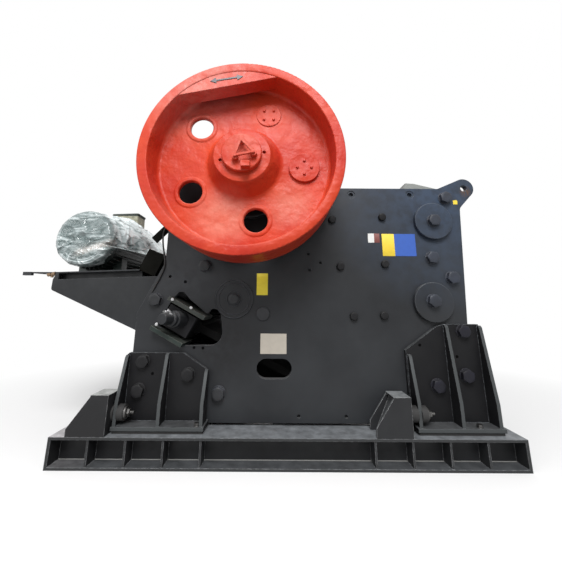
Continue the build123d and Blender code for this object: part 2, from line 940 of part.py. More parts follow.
# Motor and its support

def tilted(solid):
    """The solid turned with the seat, which rises a little towards the frame."""
    pivot = Pos(seat_middle_x, 0, seat_top)
    return pivot * Rot(0, -seat_tilt, 0) * pivot.inverse() * solid


def seat_line(x, depth):
    """Height at X of a line that lies a depth below the seat's top."""
    return seat_top - depth + (x - seat_middle_x) * math.tan(math.radians(seat_tilt))


def frame_line(height):
    """X of the slanted rear edge of the side plates at a height."""
    return at_height((plate_rear, plate_knee_height), (plate_shoulder_x, plate_shoulder_height), height)


rail_depth = seat_plate + rail_height
bracket_tip_height = seat_line(bracket_left, rail_depth + bracket_tip_depth)
bracket_root_height = plate_knee_height - bracket_root_drop


def motor_bracket():
    """Near side plate of the motor support."""
    meet_height = seat_line(frame_line(seat_top - rail_depth), rail_depth)
    ear_left = bracket_left + bracket_ear[0]
    ear_right = bracket_left + bracket_ear[1]
    face = outline(
        (bracket_left, seat_line(bracket_left, rail_depth)),
        (bracket_left, bracket_tip_height, 25),
        (plate_rear, bracket_root_height),
        (plate_rear, plate_knee_height),
        (frame_line(meet_height) - face_gap, meet_height),
        (ear_right, seat_line(ear_right, rail_depth)),
        (ear_right, seat_line(ear_right, seat_plate + curved_gap)),
        (ear_left, seat_line(ear_left, seat_plate + curved_gap)),
    )
    return across(face, -bracket_outer, -bracket_outer + bracket_plate)


def motor_seat():
    """Seat plate on two rails, with the end plate and sloped underside of the support."""
    inner = bracket_outer - bracket_plate
    left = bracket_left + seat_inset
    seat = block((left, seat_right), (-bracket_outer, bracket_outer), (seat_top - seat_plate, seat_top))
    web_outer = bracket_outer - rail_setback
    for side in (-1, 1):
        rail_y = tuple(sorted((side * web_outer, side * (web_outer - rail_web))))
        seat += block((left, seat_right), rail_y, (seat_top - rail_depth, seat_top - seat_plate))
    underside_right = (plate_rear - face_gap, bracket_root_height + 2)
    slope_a, slope_b = beside((bracket_left, bracket_tip_height), underside_right, 20)
    underside = outline(
        (bracket_left + 12, bracket_tip_height + 4),
        underside_right,
        (underside_right[0], slope_b[1] + 12),
        (bracket_left + 12, slope_a[1] + 12),
    )
    end_top = seat_line(bracket_left, seat_plate) + 4
    end = block((left, left + seat_plate), (-inner, inner), (bracket_tip_height + 6, end_top))
    return tilted(seat) + end + across(underside, -inner, inner)


def motor_crossbeam(seat):
    """Inclined box beam on the right end of the seat, next to the frame."""
    inner = bracket_outer - bracket_plate
    corner = Pos(seat_right - crossbeam_overlap, seat_line(seat_right, 0))
    box = Pos(crossbeam_width / 2, crossbeam_height / 2) * Rectangle(crossbeam_width, crossbeam_height)
    return across(corner * Rot(0, 0, -crossbeam_lean) * box, -inner, inner) - seat


def rear_arm():
    """Arm that reaches out past the motor end of the support, with its diagonal brace."""
    low = rear_arm_height - rear_arm_bar
    root = bracket_left + seat_inset
    arm = block((rear_arm_tip, root), (-rear_arm_y, -rear_arm_y + rear_arm_bar), (low, rear_arm_height))
    end_length, end_height = rear_arm_end
    arm += block(
        (rear_arm_tip, rear_arm_tip + end_length),
        (-rear_arm_y - 8, -rear_arm_y + rear_arm_bar + 8),
        (rear_arm_height - end_height, rear_arm_height),
    )
    brace = make_face(
        Polyline(
            (rear_arm_tip + end_length, -rear_arm_y + rear_arm_bar - 2),
            (rear_arm_tip + end_length + 30, -rear_arm_y + rear_arm_bar - 2),
            (root, rear_arm_foot_y - rear_arm_bar),
            (root, rear_arm_foot_y),
            close=True,
        )
    )
    return arm + extrude(Plane.XY.offset(low) * brace, amount=rear_arm_bar / 2)


def guard_bar():
    """Flat bar on the inner side of the near side plate, sticking out at the rear."""
    turn = math.radians(guard_bar_angle)
    far_end = (
        guard_bar_end[0] + guard_bar_length * math.cos(turn),
        guard_bar_end[1] + guard_bar_length * math.sin(turn),
    )
    left_a, left_b = beside(guard_bar_end, far_end, guard_bar_width / 2)
    right_a, right_b = beside(guard_bar_end, far_end, -guard_bar_width / 2)
    return across(outline(left_a, left_b, right_b, right_a), -plate_inner, -plate_inner + guard_bar_thickness)


motor_height = seat_top + motor_shaft_height
shield_start = motor_body_start - shield_thickness
pulley_middle = wheel_outer - wheel_width / 2
pulley_half = groove_count * groove_pitch / 2 + pulley_rim


def motor_frame():
    """Finned motor frame with its feet."""
    face = Pos(motor_x, motor_height) * Circle(motor_radius)
    for number in range(fin_count):
        angle = (number + 0.5) * 360 / fin_count
        middle = polar(motor_x, motor_height, motor_radius + fin_height / 2 - 5, angle)
        face += Location(middle, angle) * Rectangle(fin_height + 10, fin_thickness)
    frame = across(face, motor_body_start, motor_body_end)
    frame += block(
        (motor_x - terminal_width / 2 + 25, motor_x + terminal_width / 2 - 25),
        (terminal_near + 25, terminal_near + terminal_depth - 25),
        (motor_height + motor_radius - 25, motor_height + motor_radius + fin_height),
    )
    for side in (-1, 1):
        foot_x = tuple(sorted((motor_x + side * 130, motor_x + side * 290)))
        inner_x = tuple(sorted((motor_x + side * 130, motor_x + side * 215)))
        for y in motor_foot_places:
            frame += block(foot_x, (y - 60, y + 60), (seat_top, seat_top + 30))
            frame += block(inner_x, (y - 50, y + 50), (seat_top + 25, seat_top + 170))
    return frame


def motor_end_shields():
    """Turned end shields; the drive end carries the shaft."""
    outer = motor_radius + shield_rim
    near = turned(
        motor_x,
        motor_height,
        [
            (0, shield_start),
            (motor_radius - 10, shield_start),
            (outer, motor_body_start - shield_rim),
            (outer, motor_body_start),
            (0, motor_body_start),
        ],
    )
    drive = turned(
        motor_x,
        motor_height,
        [
            (0, motor_body_end),
            (outer, motor_body_end),
            (outer, motor_body_end + 30),
            (motor_radius - 60, motor_body_end + 60),
            (120, motor_body_end + 90),
            (motor_shaft_radius, motor_body_end + 95),
            (motor_shaft_radius, pulley_middle + pulley_half - 20),
            (0, pulley_middle + pulley_half - 20),
        ],
    )
    return [near, drive]


def motor_fan_cover():
    """Cowl over the fan, with a rounded rim and a slotted end."""
    outer = motor_radius + 15
    near_end = shield_start - fan_cover_length
    cover = turned(
        motor_x,
        motor_height,
        [(0, near_end), (outer, near_end, 40), (outer, shield_start), (0, shield_start)],
    )
    for number in range(fan_slot_rings):
        middle = fan_slot_first + number * fan_slot_pitch
        cover -= turned(
            motor_x,
            motor_height,
            [
                (middle - fan_slot_width / 2, near_end - 1),
                (middle + fan_slot_width / 2, near_end - 1),
                (middle + fan_slot_width / 2, near_end + fan_slot_depth),
                (middle - fan_slot_width / 2, near_end + fan_slot_depth),
            ],
        )
    return cover


def motor_terminal_box():
    """Terminal box with its lid, on top of the motor frame."""
    base_z = motor_height + motor_radius + fin_height
    lid_z = base_z + terminal_height - terminal_lid
    box = block(
        (motor_x - terminal_width / 2 + 8, motor_x + terminal_width / 2 - 8),
        (terminal_near + 8, terminal_near + terminal_depth - 8),
        (base_z, lid_z),
    )
    box = fillet(box.edges().filter_by(Axis.Z), 20)
    lid = block(
        (motor_x - terminal_width / 2, motor_x + terminal_width / 2),
        (terminal_near, terminal_near + terminal_depth),
        (lid_z, base_z + terminal_height),
    )
    return box + fillet(lid.edges().filter_by(Axis.Z), 25)


def motor_pulley():
    """Grooved pulley on the motor shaft, in line with the far flywheel."""
    bore = motor_shaft_radius + curved_gap
    pulley = turned(
        motor_x,
        motor_height,
        [
            (bore, pulley_middle - pulley_half),
            (pulley_radius, pulley_middle - pulley_half),
            (pulley_radius, pulley_middle + pulley_half),
            (bore, pulley_middle + pulley_half),
        ],
    )
    for number in range(groove_count):
        y = pulley_middle + (number - (groove_count - 1) / 2) * groove_pitch
        pulley -= turned(
            motor_x,
            motor_height,
            [
                (pulley_radius + 2, y - groove_mouth / 2),
                (pulley_radius + 2, y + groove_mouth / 2),
                (pulley_radius - groove_depth, y + groove_floor / 2),
                (pulley_radius - groove_depth, y - groove_floor / 2),
            ],
        )
    return pulley


def save(name, shape):
    """One file for each named piece; a list of solids shares one file."""
    solids = shape if isinstance(shape, list) else [shape]
    bodies = [solid for item in solids for solid in item.solids()]
    target = bodies[0] if len(bodies) == 1 else Compound(children=bodies)
    export_step(target, f"parts/{name}.step")


def save_pair(name, near):
    """A near piece and its twin on the far side, in a file each."""
    items = near if isinstance(near, list) else [near]
    save(f"{name}_near", items)
    save(f"{name}_far", [far_twin(item) for item in items])


def save_both(name, near):
    """A near piece and its twin on the far side, in one file."""
    items = near if isinstance(near, list) else [near]
    save(name, items + [far_twin(item) for item in items])


save_pair("base_beam", base_beam())
save("base_cross_members", [cross_member(x) for x in cross_places])
near_plate = side_plate()
save_pair("side_plate", near_plate)
save_both("clamp_discs", clamp_discs())
save("fixed_jaw_die", die(fixed_top, fixed_bottom, 1))
save("swing_jaw_die", die(swing_top, swing_bottom, -1))
save_pair("cheek_plates", cheek_plates())
save("front_frame", front_frame())
save("feed_lip", feed_lip())
save("pitman", pitman())
rear_casting = rear_frame()
save("rear_frame", rear_casting)
save("toggle_plate", toggle_plate())
save("toggle_beam", toggle_beam())
save_pair("toggle_rails", toggle_rails(near_plate, rear_casting))
save_both("setting_cylinders", setting_cylinder())
save_pair("bearing_housing", bearing_housing())
save("eccentric_shaft", eccentric_shaft())
near_wheel = flywheel()
save("flywheel_near", near_wheel)
save("flywheel_far", belt_grooves(far_twin(near_wheel)))
save_pair("hub_cover", hub_cover())
save("balance_covers", balance_covers(-1) + balance_covers(1))
save_pair("foot_rear", rear_foot())
save_pair("foot_front", front_foot())
save("foot_pads", foot_pads())
save_both("stops_rear", stop_box(rear_stop_corners))
save_both("stops_front", stop_box(front_stop_corners))
save("stop_buffers", stop_buffers())
save_both("motor_brackets", motor_bracket())
seat = motor_seat()
save("motor_seat", seat)
save("motor_crossbeam", motor_crossbeam(seat))
save("rear_arm", rear_arm())
save_both("guard_bars", guard_bar())
save("motor_frame", tilted(motor_frame()))
save("motor_end_shields", [tilted(shield) for shield in motor_end_shields()])
save("motor_fan_cover", tilted(motor_fan_cover()))
save("motor_terminal_box", tilted(motor_terminal_box()))
save("motor_pulley", tilted(motor_pulley()))
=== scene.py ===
import json
import math
import bpy
import numpy as np
from mathutils import Matrix, Vector


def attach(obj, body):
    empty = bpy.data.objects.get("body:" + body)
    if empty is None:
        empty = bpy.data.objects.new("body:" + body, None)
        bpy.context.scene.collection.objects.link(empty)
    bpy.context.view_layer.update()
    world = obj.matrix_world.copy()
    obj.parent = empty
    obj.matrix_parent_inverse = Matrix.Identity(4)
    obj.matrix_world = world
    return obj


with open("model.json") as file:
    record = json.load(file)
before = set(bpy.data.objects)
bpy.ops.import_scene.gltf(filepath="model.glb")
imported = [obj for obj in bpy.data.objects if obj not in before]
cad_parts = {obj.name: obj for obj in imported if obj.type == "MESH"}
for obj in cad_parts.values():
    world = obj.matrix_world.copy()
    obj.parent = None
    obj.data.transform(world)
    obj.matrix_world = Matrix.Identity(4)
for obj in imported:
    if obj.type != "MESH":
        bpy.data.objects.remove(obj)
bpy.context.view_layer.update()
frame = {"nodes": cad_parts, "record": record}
nodes = frame["nodes"]

# Camera

cameraSet = {
    "place": (-0.0725, -3.1515, 1.0856),
    "tiltUp": 12.77,      # degrees above level
    "roll": 0.334,
    "lens": 19.22,        # mm
    "sensor": 36.0,
    "shift": (0.0042, -0.0773),
    "clipEnd": 100.0,
}


def addCamera(s):
    data = bpy.data.cameras.new("Camera")
    data.sensor_width = s["sensor"]
    data.lens = s["lens"]
    data.shift_x, data.shift_y = s["shift"]
    data.clip_end = s["clipEnd"]
    camera = bpy.data.objects.new("Camera", data)
    bpy.context.scene.collection.objects.link(camera)
    tilt = Matrix.Rotation(math.radians(90.0 + s["tiltUp"]), 4, "X")
    roll = Matrix.Rotation(math.radians(s["roll"]), 4, "Z")
    camera.matrix_world = Matrix.Translation(s["place"]) @ (tilt @ roll)
    bpy.context.scene.camera = camera


addCamera(cameraSet)
print("camera")

# Node helpers


# Numbers go to a node's inputs and sockets are linked to them
def feed(tree, node, values):
    for key, value in values.items():
        if isinstance(value, bpy.types.NodeSocket):
            tree.links.new(value, node.inputs[key])
        else:
            node.inputs[key].default_value = value


# A shader or geometry node with its settings and its inputs
def addNode(tree, kind, values=None, **settings):
    made = tree.nodes.new(kind)
    for key, value in settings.items():
        setattr(made, key, value)
    feed(tree, made, values or {})
    return made


def newMaterial(name):
    material = bpy.data.materials.new(name)
    material.use_nodes = True
    tree = material.node_tree
    return material, tree, tree.nodes["Principled BSDF"]


def objectPlace(tree):
    return addNode(tree, "ShaderNodeTexCoord").outputs["Object"]


# Noise on Object coordinates; scale counts its features in a metre
def cloud(tree, scale, detail=3.0, rough=0.5):
    values = {"Vector": objectPlace(tree), "Scale": scale, "Detail": detail, "Roughness": rough}
    return addNode(tree, "ShaderNodeTexNoise", values).outputs["Fac"]


# Carries one range of a value to another and holds it at the ends
def between(tree, value, low, high, toLow=0.0, toHigh=1.0):
    return addNode(tree, "ShaderNodeMapRange", {0: value, 1: low, 2: high, 3: toLow, 4: toHigh}).outputs[0]


# Noise of which one range counts: its scale, detail, roughness and the range's two ends
def noiseShare(tree, noise, toLow=0.0, toHigh=1.0):
    scale, detail, rough, low, high = noise
    return between(tree, cloud(tree, scale, detail, rough), low, high, toLow, toHigh)


# One step of arithmetic
def calculate(tree, operation, *values, **settings):
    values = dict(enumerate(values))
    return addNode(tree, "ShaderNodeMath", values, operation=operation, **settings).outputs[0]


def times(tree, a, b):
    return calculate(tree, "MULTIPLY", a, b)


# Either colour is three numbers or a socket
def blendColour(tree, share, a, b):
    a, b = [(*colour, 1) if isinstance(colour, tuple) else colour for colour in (a, b)]
    return addNode(tree, "ShaderNodeMix", {0: share, 6: a, 7: b}, data_type="RGBA").outputs[2]


def axisPart(tree, vector, axis):
    return addNode(tree, "ShaderNodeSeparateXYZ", {0: vector}).outputs[axis]


def trueNormal(tree):
    return addNode(tree, "ShaderNodeNewGeometry").outputs["Normal"]


def roundedNormal(tree, radius):
    return addNode(tree, "ShaderNodeBevel", {"Radius": radius}, samples=4).outputs[0]


# Cosines over which worn edges with painted highlight, faces that look up and faces that look across come in
faceSteps = {"edge": (0.995, 0.8), "up": (0.3, 0.95), "across": (0.5, 0.8)}


# Near 1 along edges, where the rounded normal leaves the true one
def edgeShare(tree, rounded):
    values = {0: rounded, 1: trueNormal(tree)}
    dot = addNode(tree, "ShaderNodeVectorMath", values, operation="DOT_PRODUCT").outputs["Value"]
    return between(tree, dot, *faceSteps["edge"])


def facingUp(tree):
    return between(tree, axisPart(tree, trueNormal(tree), "Z"), *faceSteps["up"])


# 1 within reach of a point and 0 from reach + fade on
def nearPoint(tree, point, reach, fade, place=None):
    values = {0: objectPlace(tree) if place is None else place, 1: point}
    gap = addNode(tree, "ShaderNodeVectorMath", values, operation="DISTANCE").outputs["Value"]
    return between(tree, gap, reach, reach + fade, 1.0, 0.0)


# Bumps of a height field, on the true normal or on top of another one
def bumped(tree, height, strength, depth, normal=None):
    values = {"Strength": strength, "Distance": depth, "Height": height}
    if normal is not None:
        values["Normal"] = normal
    return addNode(tree, "ShaderNodeBump", values).outputs[0]


# Light, floor and background

studioSet = {
    "worldLight": 0.50,
    "lamps": {
        "Key": {"place": (0.1, -6.0, 6.6), "size": 3.4, "power": 640.0},
        "Fill": {"place": (-5.0, -5.5, 3.6), "size": 4.0, "power": 110.0},
    },
    "aim": (0.0, 0.0, 1.3),
    "floorColour": (0.93, 0.93, 0.93),
    "floorBounce": (0.30, 0.30, 0.30),
    "floorRough": 0.9,
    "floorGloss": 0.1,
    "floorSize": 40.0,
    "shadowReach": (2.0, 2.6),    # where the floor starts to turn white, and over how many metres
}


# 1 for camera, glossy and transmission rays
def seenDirectly(tree):
    path = addNode(tree, "ShaderNodeLightPath").outputs
    bounced = calculate(tree, "MAXIMUM", path["Is Glossy Ray"], path["Is Transmission Ray"])
    return calculate(tree, "MAXIMUM", bounced, path["Is Camera Ray"])


def addWorld(s):
    world = bpy.data.worlds.new("World")
    bpy.context.scene.world = world
    world.use_nodes = True
    tree = world.node_tree
    tree.nodes.clear()
    light = addNode(tree, "ShaderNodeBackground", {"Color": (1, 1, 1, 1), "Strength": s["worldLight"]})
    white = addNode(tree, "ShaderNodeBackground", {"Color": (1, 1, 1, 1), "Strength": 1.0})
    values = {0: seenDirectly(tree), 1: light.outputs[0], 2: white.outputs[0]}
    mix = addNode(tree, "ShaderNodeMixShader", values)
    addNode(tree, "ShaderNodeOutputWorld", {0: mix.outputs[0]})


def addLamps(s):
    for name, lampSet in s["lamps"].items():
        data = bpy.data.lights.new(name, "AREA")
        data.size = lampSet["size"]
        data.energy = lampSet["power"]
        lamp = bpy.data.objects.new(name, data)
        bpy.context.scene.collection.objects.link(lamp)
        away = Vector(lampSet["place"]) - Vector(s["aim"])
        turn = away.to_track_quat("Z", "Y").to_matrix().to_4x4()
        lamp.matrix_world = Matrix.Translation(lampSet["place"]) @ turn


# The floor keeps the shadow near the machine and turns into the white background further out.
# What it throws back on the object is that of a greyer yard
def addFloor(s):
    half = s["floorSize"] / 2
    corners = [(-half, -half, 0), (half, -half, 0), (half, half, 0), (-half, half, 0)]
    mesh = bpy.data.meshes.new("Floor")
    mesh.from_pydata(corners, [], [(0, 1, 2, 3)])
    floor = bpy.data.objects.new("Floor", mesh)
    bpy.context.scene.collection.objects.link(floor)
    paint, tree, surface = newMaterial("FloorPaint")
    direct = seenDirectly(tree)
    colour = blendColour(tree, direct, s["floorBounce"], s["floorColour"])
    feed(tree, surface, {"Base Color": colour, "Roughness": s["floorRough"]})
    feed(tree, surface, {"Specular IOR Level": s["floorGloss"]})
    white = addNode(tree, "ShaderNodeEmission", {"Color": (1, 1, 1, 1), "Strength": 1.0})
    far = calculate(tree, "SUBTRACT", 1.0, nearPoint(tree, (0, 0, 0), *s["shadowReach"]))
    values = {0: times(tree, direct, far), 1: surface.outputs[0], 2: white.outputs[0]}
    mix = addNode(tree, "ShaderNodeMixShader", values)
    tree.links.new(mix.outputs[0], tree.nodes["Material Output"].inputs["Surface"])
    mesh.materials.append(paint)


bpy.context.scene.view_settings.view_transform = "Standard"
addWorld(studioSet)
addLamps(studioSet)
addFloor(studioSet)
print("studio")

# Paints. What several of them share stands first. Rough is the range of the roughness, and wave and peel
# are strengths of bumps. outerHighlight colours with painted highlight the faces that look across further out
# than a distance from the middle plane, inner colours with painted shade what lies further in, and clearBelow
# is a low and a high place with the share of dust and top light that is left at the low one

boltSpray = {"rough": (0.36, 0.50), "peel": 0.08, "wave": 0.0, "waveScale": 5.0}
footSpray = {
    "blotch": 2.0, "gloss": 0.15, "rough": (0.42, 0.62), "peel": 0.10, "wave": 0.10, "waveScale": 6.0,
}
baseSpray = {"rough": (0.40, 0.62), "peel": 0.10, "wave": 0.08, "waveScale": 7.0}
groundSpray = {
    **baseSpray, "colour": (0.022, 0.023, 0.025), "dark": (0.012, 0.012, 0.013), "blotch": 2.0, "gloss": 0.26,
}
dullSpray = {
    "blotch": 3.0, "gloss": 0.08, "rough": (0.70, 0.85), "peel": 0.05, "wave": 0.05, "waveScale": 5.0,
    "edgeWearAndHighlight": (0.05, 0.05, 0.05), "edgeWearAndHighlightShare": 0.3, "dustAndTopLight": (0.06, 0.06, 0.06), "dustAndTopLightShare": 0.4,
}

paints = {
    "framePaint": {
        "colour": (0.026, 0.028, 0.031), "dark": (0.014, 0.015, 0.017), "blotch": 1.3, "gloss": 0.26,
        "rough": (0.36, 0.56), "peel": 0.10, "wave": 0.10, "waveScale": 5.0,
        "edgeWearAndHighlight": (0.17, 0.18, 0.19), "edgeWearAndHighlightShare": 0.7, "dustAndTopLight": (0.20, 0.20, 0.20), "dustAndTopLightShare": 0.5,
    },
    "boltPaint": {
        **boltSpray, "blotch": 6.0, "gloss": 0.28,
        "colour": (0.027, 0.028, 0.031), "dark": (0.016, 0.017, 0.019),
        "edgeWearAndHighlight": (0.15, 0.16, 0.19), "edgeWearAndHighlightShare": 0.5, "dustAndTopLight": (0.14, 0.15, 0.18), "dustAndTopLightShare": 0.35,
    },
    "smallBoltPaint": {
        **boltSpray, "blotch": 9.0, "gloss": 0.16,
        "colour": (0.015, 0.015, 0.016), "dark": (0.008, 0.008, 0.009),
        "edgeWearAndHighlight": (0.08, 0.08, 0.08), "edgeWearAndHighlightShare": 0.5, "dustAndTopLight": (0.06, 0.06, 0.06), "dustAndTopLightShare": 0.3,
    },
    # The feet are painted darker than the frame: painted shade low down
    "shadedFootPaint": {
        **footSpray, "colour": (0.012, 0.012, 0.013), "dark": (0.007, 0.007, 0.008),
        "edgeWearAndHighlight": (0.24, 0.26, 0.28), "edgeWearAndHighlightShare": 0.9, "dustAndTopLight": (0.13, 0.135, 0.14), "dustAndTopLightShare": 0.8,
        # painted highlight on the front faces of the ribs
        "outerHighlight": {"from": 0.680, "to": 0.705, "colour": (0.085, 0.092, 0.094), "share": 0.72},
    },
    "beamPaint": {
        **footSpray, "colour": (0.016, 0.016, 0.018), "dark": (0.009, 0.009, 0.010),
        "edgeWearAndHighlight": (0.10, 0.10, 0.11), "edgeWearAndHighlightShare": 0.5, "dustAndTopLight": (0.05, 0.05, 0.05), "dustAndTopLightShare": 0.4,
        # painted shade: near black deep inside, away from the sides
        "inner": {"from": 0.600, "to": 0.570, "colour": (0.003, 0.003, 0.003), "share": 1.0},
    },
    # painted shade for parts deep inside
    "innerPaint": {**dullSpray, "colour": (0.014, 0.014, 0.014), "dark": (0.009, 0.009, 0.009)},
    # near black; partly painted shade on the motor crossbeam, which lies in shade
    "darkPaint": {**dullSpray, "colour": (0.005, 0.005, 0.004), "dark": (0.003, 0.003, 0.002)},
    "basePaint": {
        **groundSpray,
        "edgeWearAndHighlight": (0.44, 0.45, 0.47), "edgeWearAndHighlightShare": 1.0, "dustAndTopLight": (0.31, 0.33, 0.35), "dustAndTopLightShare": 0.75,
        # painted highlight on the front edge of the top flange
        "outerHighlight": {"from": 0.840, "to": 0.846, "colour": (0.060, 0.063, 0.064), "share": 0.35},
        "clearBelow": (0.08, 0.16, 0.35),
        "pale": {"middle": (-1.64, -0.80, 0.20), "reach": 0.12, "fade": 0.25, "colour": (0.86, 0.84, 0.86)},
        # painted highlight along the seam at the foot of the web
        "seamHighlight": {"side": 0.735, "height": 0.018, "reach": 0.003, "fade": 0.003, "colour": (0.26, 0.26, 0.25)},
    },
    "stopPaint": {
        **groundSpray,
        "edgeWearAndHighlight": (0.50, 0.51, 0.52), "edgeWearAndHighlightShare": 1.0, "dustAndTopLight": (0.36, 0.38, 0.39), "dustAndTopLightShare": 0.85,
        "pale": {"middle": (-1.32, -0.80, 0.46), "reach": 0.20, "fade": 0.40, "colour": (0.62, 0.64, 0.62)},
    },
    "railPaint": {
        **baseSpray, "blotch": 7.0, "gloss": 0.22,
        "colour": (0.055, 0.058, 0.052), "dark": (0.020, 0.026, 0.024),
        "edgeWearAndHighlight": (0.24, 0.24, 0.21), "edgeWearAndHighlightShare": 1.0, "dustAndTopLight": (0.10, 0.10, 0.09), "dustAndTopLightShare": 0.6,
    },
    "wheelPaint": {
        "colour": (0.53, 0.052, 0.018), "dark": (0.44, 0.028, 0.014), "blotch": 2.2, "gloss": 0.20,
        "rough": (0.34, 0.52), "peel": 0.12, "wave": 0.80, "waveScale": 8.0, "ripple": 0.75,
        "edgeWearAndHighlight": (0.70, 0.22, 0.16), "edgeWearAndHighlightShare": 0.5, "dustAndTopLight": (0.68, 0.28, 0.22), "dustAndTopLightShare": 0.25,
    },
    "motorPaint": {
        "colour": (0.030, 0.044, 0.040), "dark": (0.016, 0.024, 0.022), "blotch": 5.0, "gloss": 0.35,
        "rough": (0.35, 0.5), "peel": 0.15, "wave": 0.05, "waveScale": 12.0,
        "edgeWearAndHighlight": (0.2, 0.22, 0.21), "edgeWearAndHighlightShare": 0.5, "dustAndTopLight": (0.2, 0.2, 0.19), "dustAndTopLightShare": 0.3,
    },
}

# Painted light and shade: places where a paint is paler, bluer or darker. A row is middle, reach, fade,
# colour and its share
paintedLightAndShade = {
    "framePaint": [
        # painted reflection of the sky, bluer, at the upper right of the plate
        ((1.35, -0.64, 2.10), 0.10, 1.0, (0.045, 0.068, 0.112), 0.75),
        # paler on the plate below the flywheel
        ((-0.83, -0.64, 1.31), 0.05, 0.32, (0.056, 0.060, 0.066), 0.7),
        # darker low on the plate, near the window
        ((-0.53, -0.64, 0.81), 0.12, 0.30, (0.007, 0.007, 0.008), 0.9),
        # painted shade on the bracket under the motor seat
        ((-1.70, -0.55, 1.25), 0.30, 0.35, (0.010, 0.011, 0.012), 0.7),
    ],
    # painted reflection of the sky on the bolts at the upper right, bluer
    "boltPaint": [((1.35, -0.64, 1.75), 0.55, 0.30, (0.034, 0.040, 0.056), 0.9)],
    # bluer on the bolts of the right foot
    "smallBoltPaint": [((1.30, -0.67, 0.60), 0.40, 0.20, (0.018, 0.018, 0.026), 0.9)],
    # darker on the lower rail
    "railPaint": [((-0.93, -0.70, 0.84), 0.13, 0.08, (0.016, 0.026, 0.023), 0.9)],
    "wheelPaint": [
        # painted sheen: pale patches on the counterweight, on the lower web at either side and on the hub
        # face
        ((-0.80, -1.17, 2.85), 0.20, 0.40, (0.66, 0.28, 0.24), 0.50),
        ((-0.50, -0.98, 1.73), 0.08, 0.20, (0.68, 0.27, 0.20), 0.55),
        ((0.02, -0.98, 1.80), 0.03, 0.20, (0.68, 0.27, 0.20), 0.50),
        ((-0.34, -1.23, 2.24), 0.08, 0.08, (0.66, 0.20, 0.15), 0.35),
    ],
}

# Rust that has run out of the lifting eye
rustSpot = {"middle": (1.588, -0.636, 2.086), "reach": 0.015, "fade": 0.045, "colour": (0.10, 0.055, 0.032)}

# What all paints share: noises as noiseShare takes them, and bumps as depth and noise. The scale of the
# blotches and of the waves is the paint's own
paintLook = {
    "edgeRadius": 0.006,
    "blotch": (4.0, 0.6, 0.35, 0.65),
    # haze is the patchy noise of the patches of painted light and shade
    "haze": (12.0, 4.0, 0.6, 0.35, 0.6), "paintedLightLeast": 0.5,
    "rust": (60.0, 4.0, 0.7, 0.40, 0.55),
    "scuff": (35.0, 5.0, 0.7, 0.42, 0.62), "scuffLeast": 0.2,
    "dustAndTopLight": (14.0, 6.0, 0.65, 0.35, 0.75), "dustAndTopLightLeast": 0.3,
    "shine": (9.0, 5.0, 0.6, 0.3, 0.7),
    "waveDepth": 0.02, "wave": (2.0, 0.4),
    "rippleDepth": 0.006, "ripple": (26.0, 3.0, 0.5),
    "peelDepth": 0.001, "peel": (260.0, 2.0, 0.5),
}


# The share by the distance from the middle plane; with square, only on faces that look across
def acrossShare(tree, s, square):
    side = calculate(tree, "ABSOLUTE", axisPart(tree, objectPlace(tree), "Y"))
    share = between(tree, side, s["from"], s["to"], 0.0, s["share"])
    if square:
        look = calculate(tree, "ABSOLUTE", axisPart(tree, trueNormal(tree), "Y"))
        share = times(tree, share, between(tree, look, *faceSteps["across"]))
    return share


# 1 on a seam that runs along X at one height on either side, where a painted highlight goes
def seamHighlightShare(tree, s):
    place = addNode(tree, "ShaderNodeSeparateXYZ", {0: objectPlace(tree)}).outputs
    values = {"Y": calculate(tree, "ABSOLUTE", place["Y"]), "Z": place["Z"]}
    section = addNode(tree, "ShaderNodeCombineXYZ", values).outputs[0]
    return nearPoint(tree, (0.0, s["side"], s["height"]), s["reach"], s["fade"], section)


# Slow blotches of two tones, the paint's patches of painted light and shade, and rust at the lifting eye
def paintTones(tree, name, s):
    blotch = noiseShare(tree, (s["blotch"], *paintLook["blotch"]))
    colour = blendColour(tree, blotch, s["dark"], s["colour"])
    for middle, reach, fade, tone, share in paintedLightAndShade.get(name, []):
        patchy = noiseShare(tree, paintLook["haze"], paintLook["paintedLightLeast"] * share, share)
        here = times(tree, nearPoint(tree, middle, reach, fade), patchy)
        colour = blendColour(tree, here, colour, tone)
    if name == "framePaint":
        spot = nearPoint(tree, rustSpot["middle"], rustSpot["reach"], rustSpot["fade"])
        here = times(tree, spot, noiseShare(tree, paintLook["rust"]))
        colour = blendColour(tree, here, colour, rustSpot["colour"])
    return colour


# Dust on faces that look up, which also stands for painted top light there, thinner low down and paler round
# one place where the paint says so
def dustedAndTopLit(tree, s, colour):
    patchy = noiseShare(tree, paintLook["dustAndTopLight"], paintLook["dustAndTopLightLeast"], s["dustAndTopLightShare"])
    powderAndTopLight = times(tree, facingUp(tree), patchy)
    if "clearBelow" in s:
        low, high, left = s["clearBelow"]
        height = axisPart(tree, objectPlace(tree), "Z")
        powderAndTopLight = times(tree, powderAndTopLight, between(tree, height, low, high, left, 1.0))
    dustAndTopLight = s["dustAndTopLight"]
    if "pale" in s:
        pale = s["pale"]
        here = nearPoint(tree, pale["middle"], pale["reach"], pale["fade"])
        dustAndTopLight = blendColour(tree, here, dustAndTopLight, pale["colour"])
    return blendColour(tree, powderAndTopLight, colour, dustAndTopLight)


# Casting waves, ripples on some paints, and orange peel
def paintBumps(tree, s, normal):
    wave = cloud(tree, s["waveScale"], *paintLook["wave"])
    normal = bumped(tree, wave, s["wave"], paintLook["waveDepth"], normal)
    if "ripple" in s:
        ripple = cloud(tree, *paintLook["ripple"])
        normal = bumped(tree, ripple, s["ripple"], paintLook["rippleDepth"], normal)
    return bumped(tree, cloud(tree, *paintLook["peel"]), s["peel"], paintLook["peelDepth"], normal)


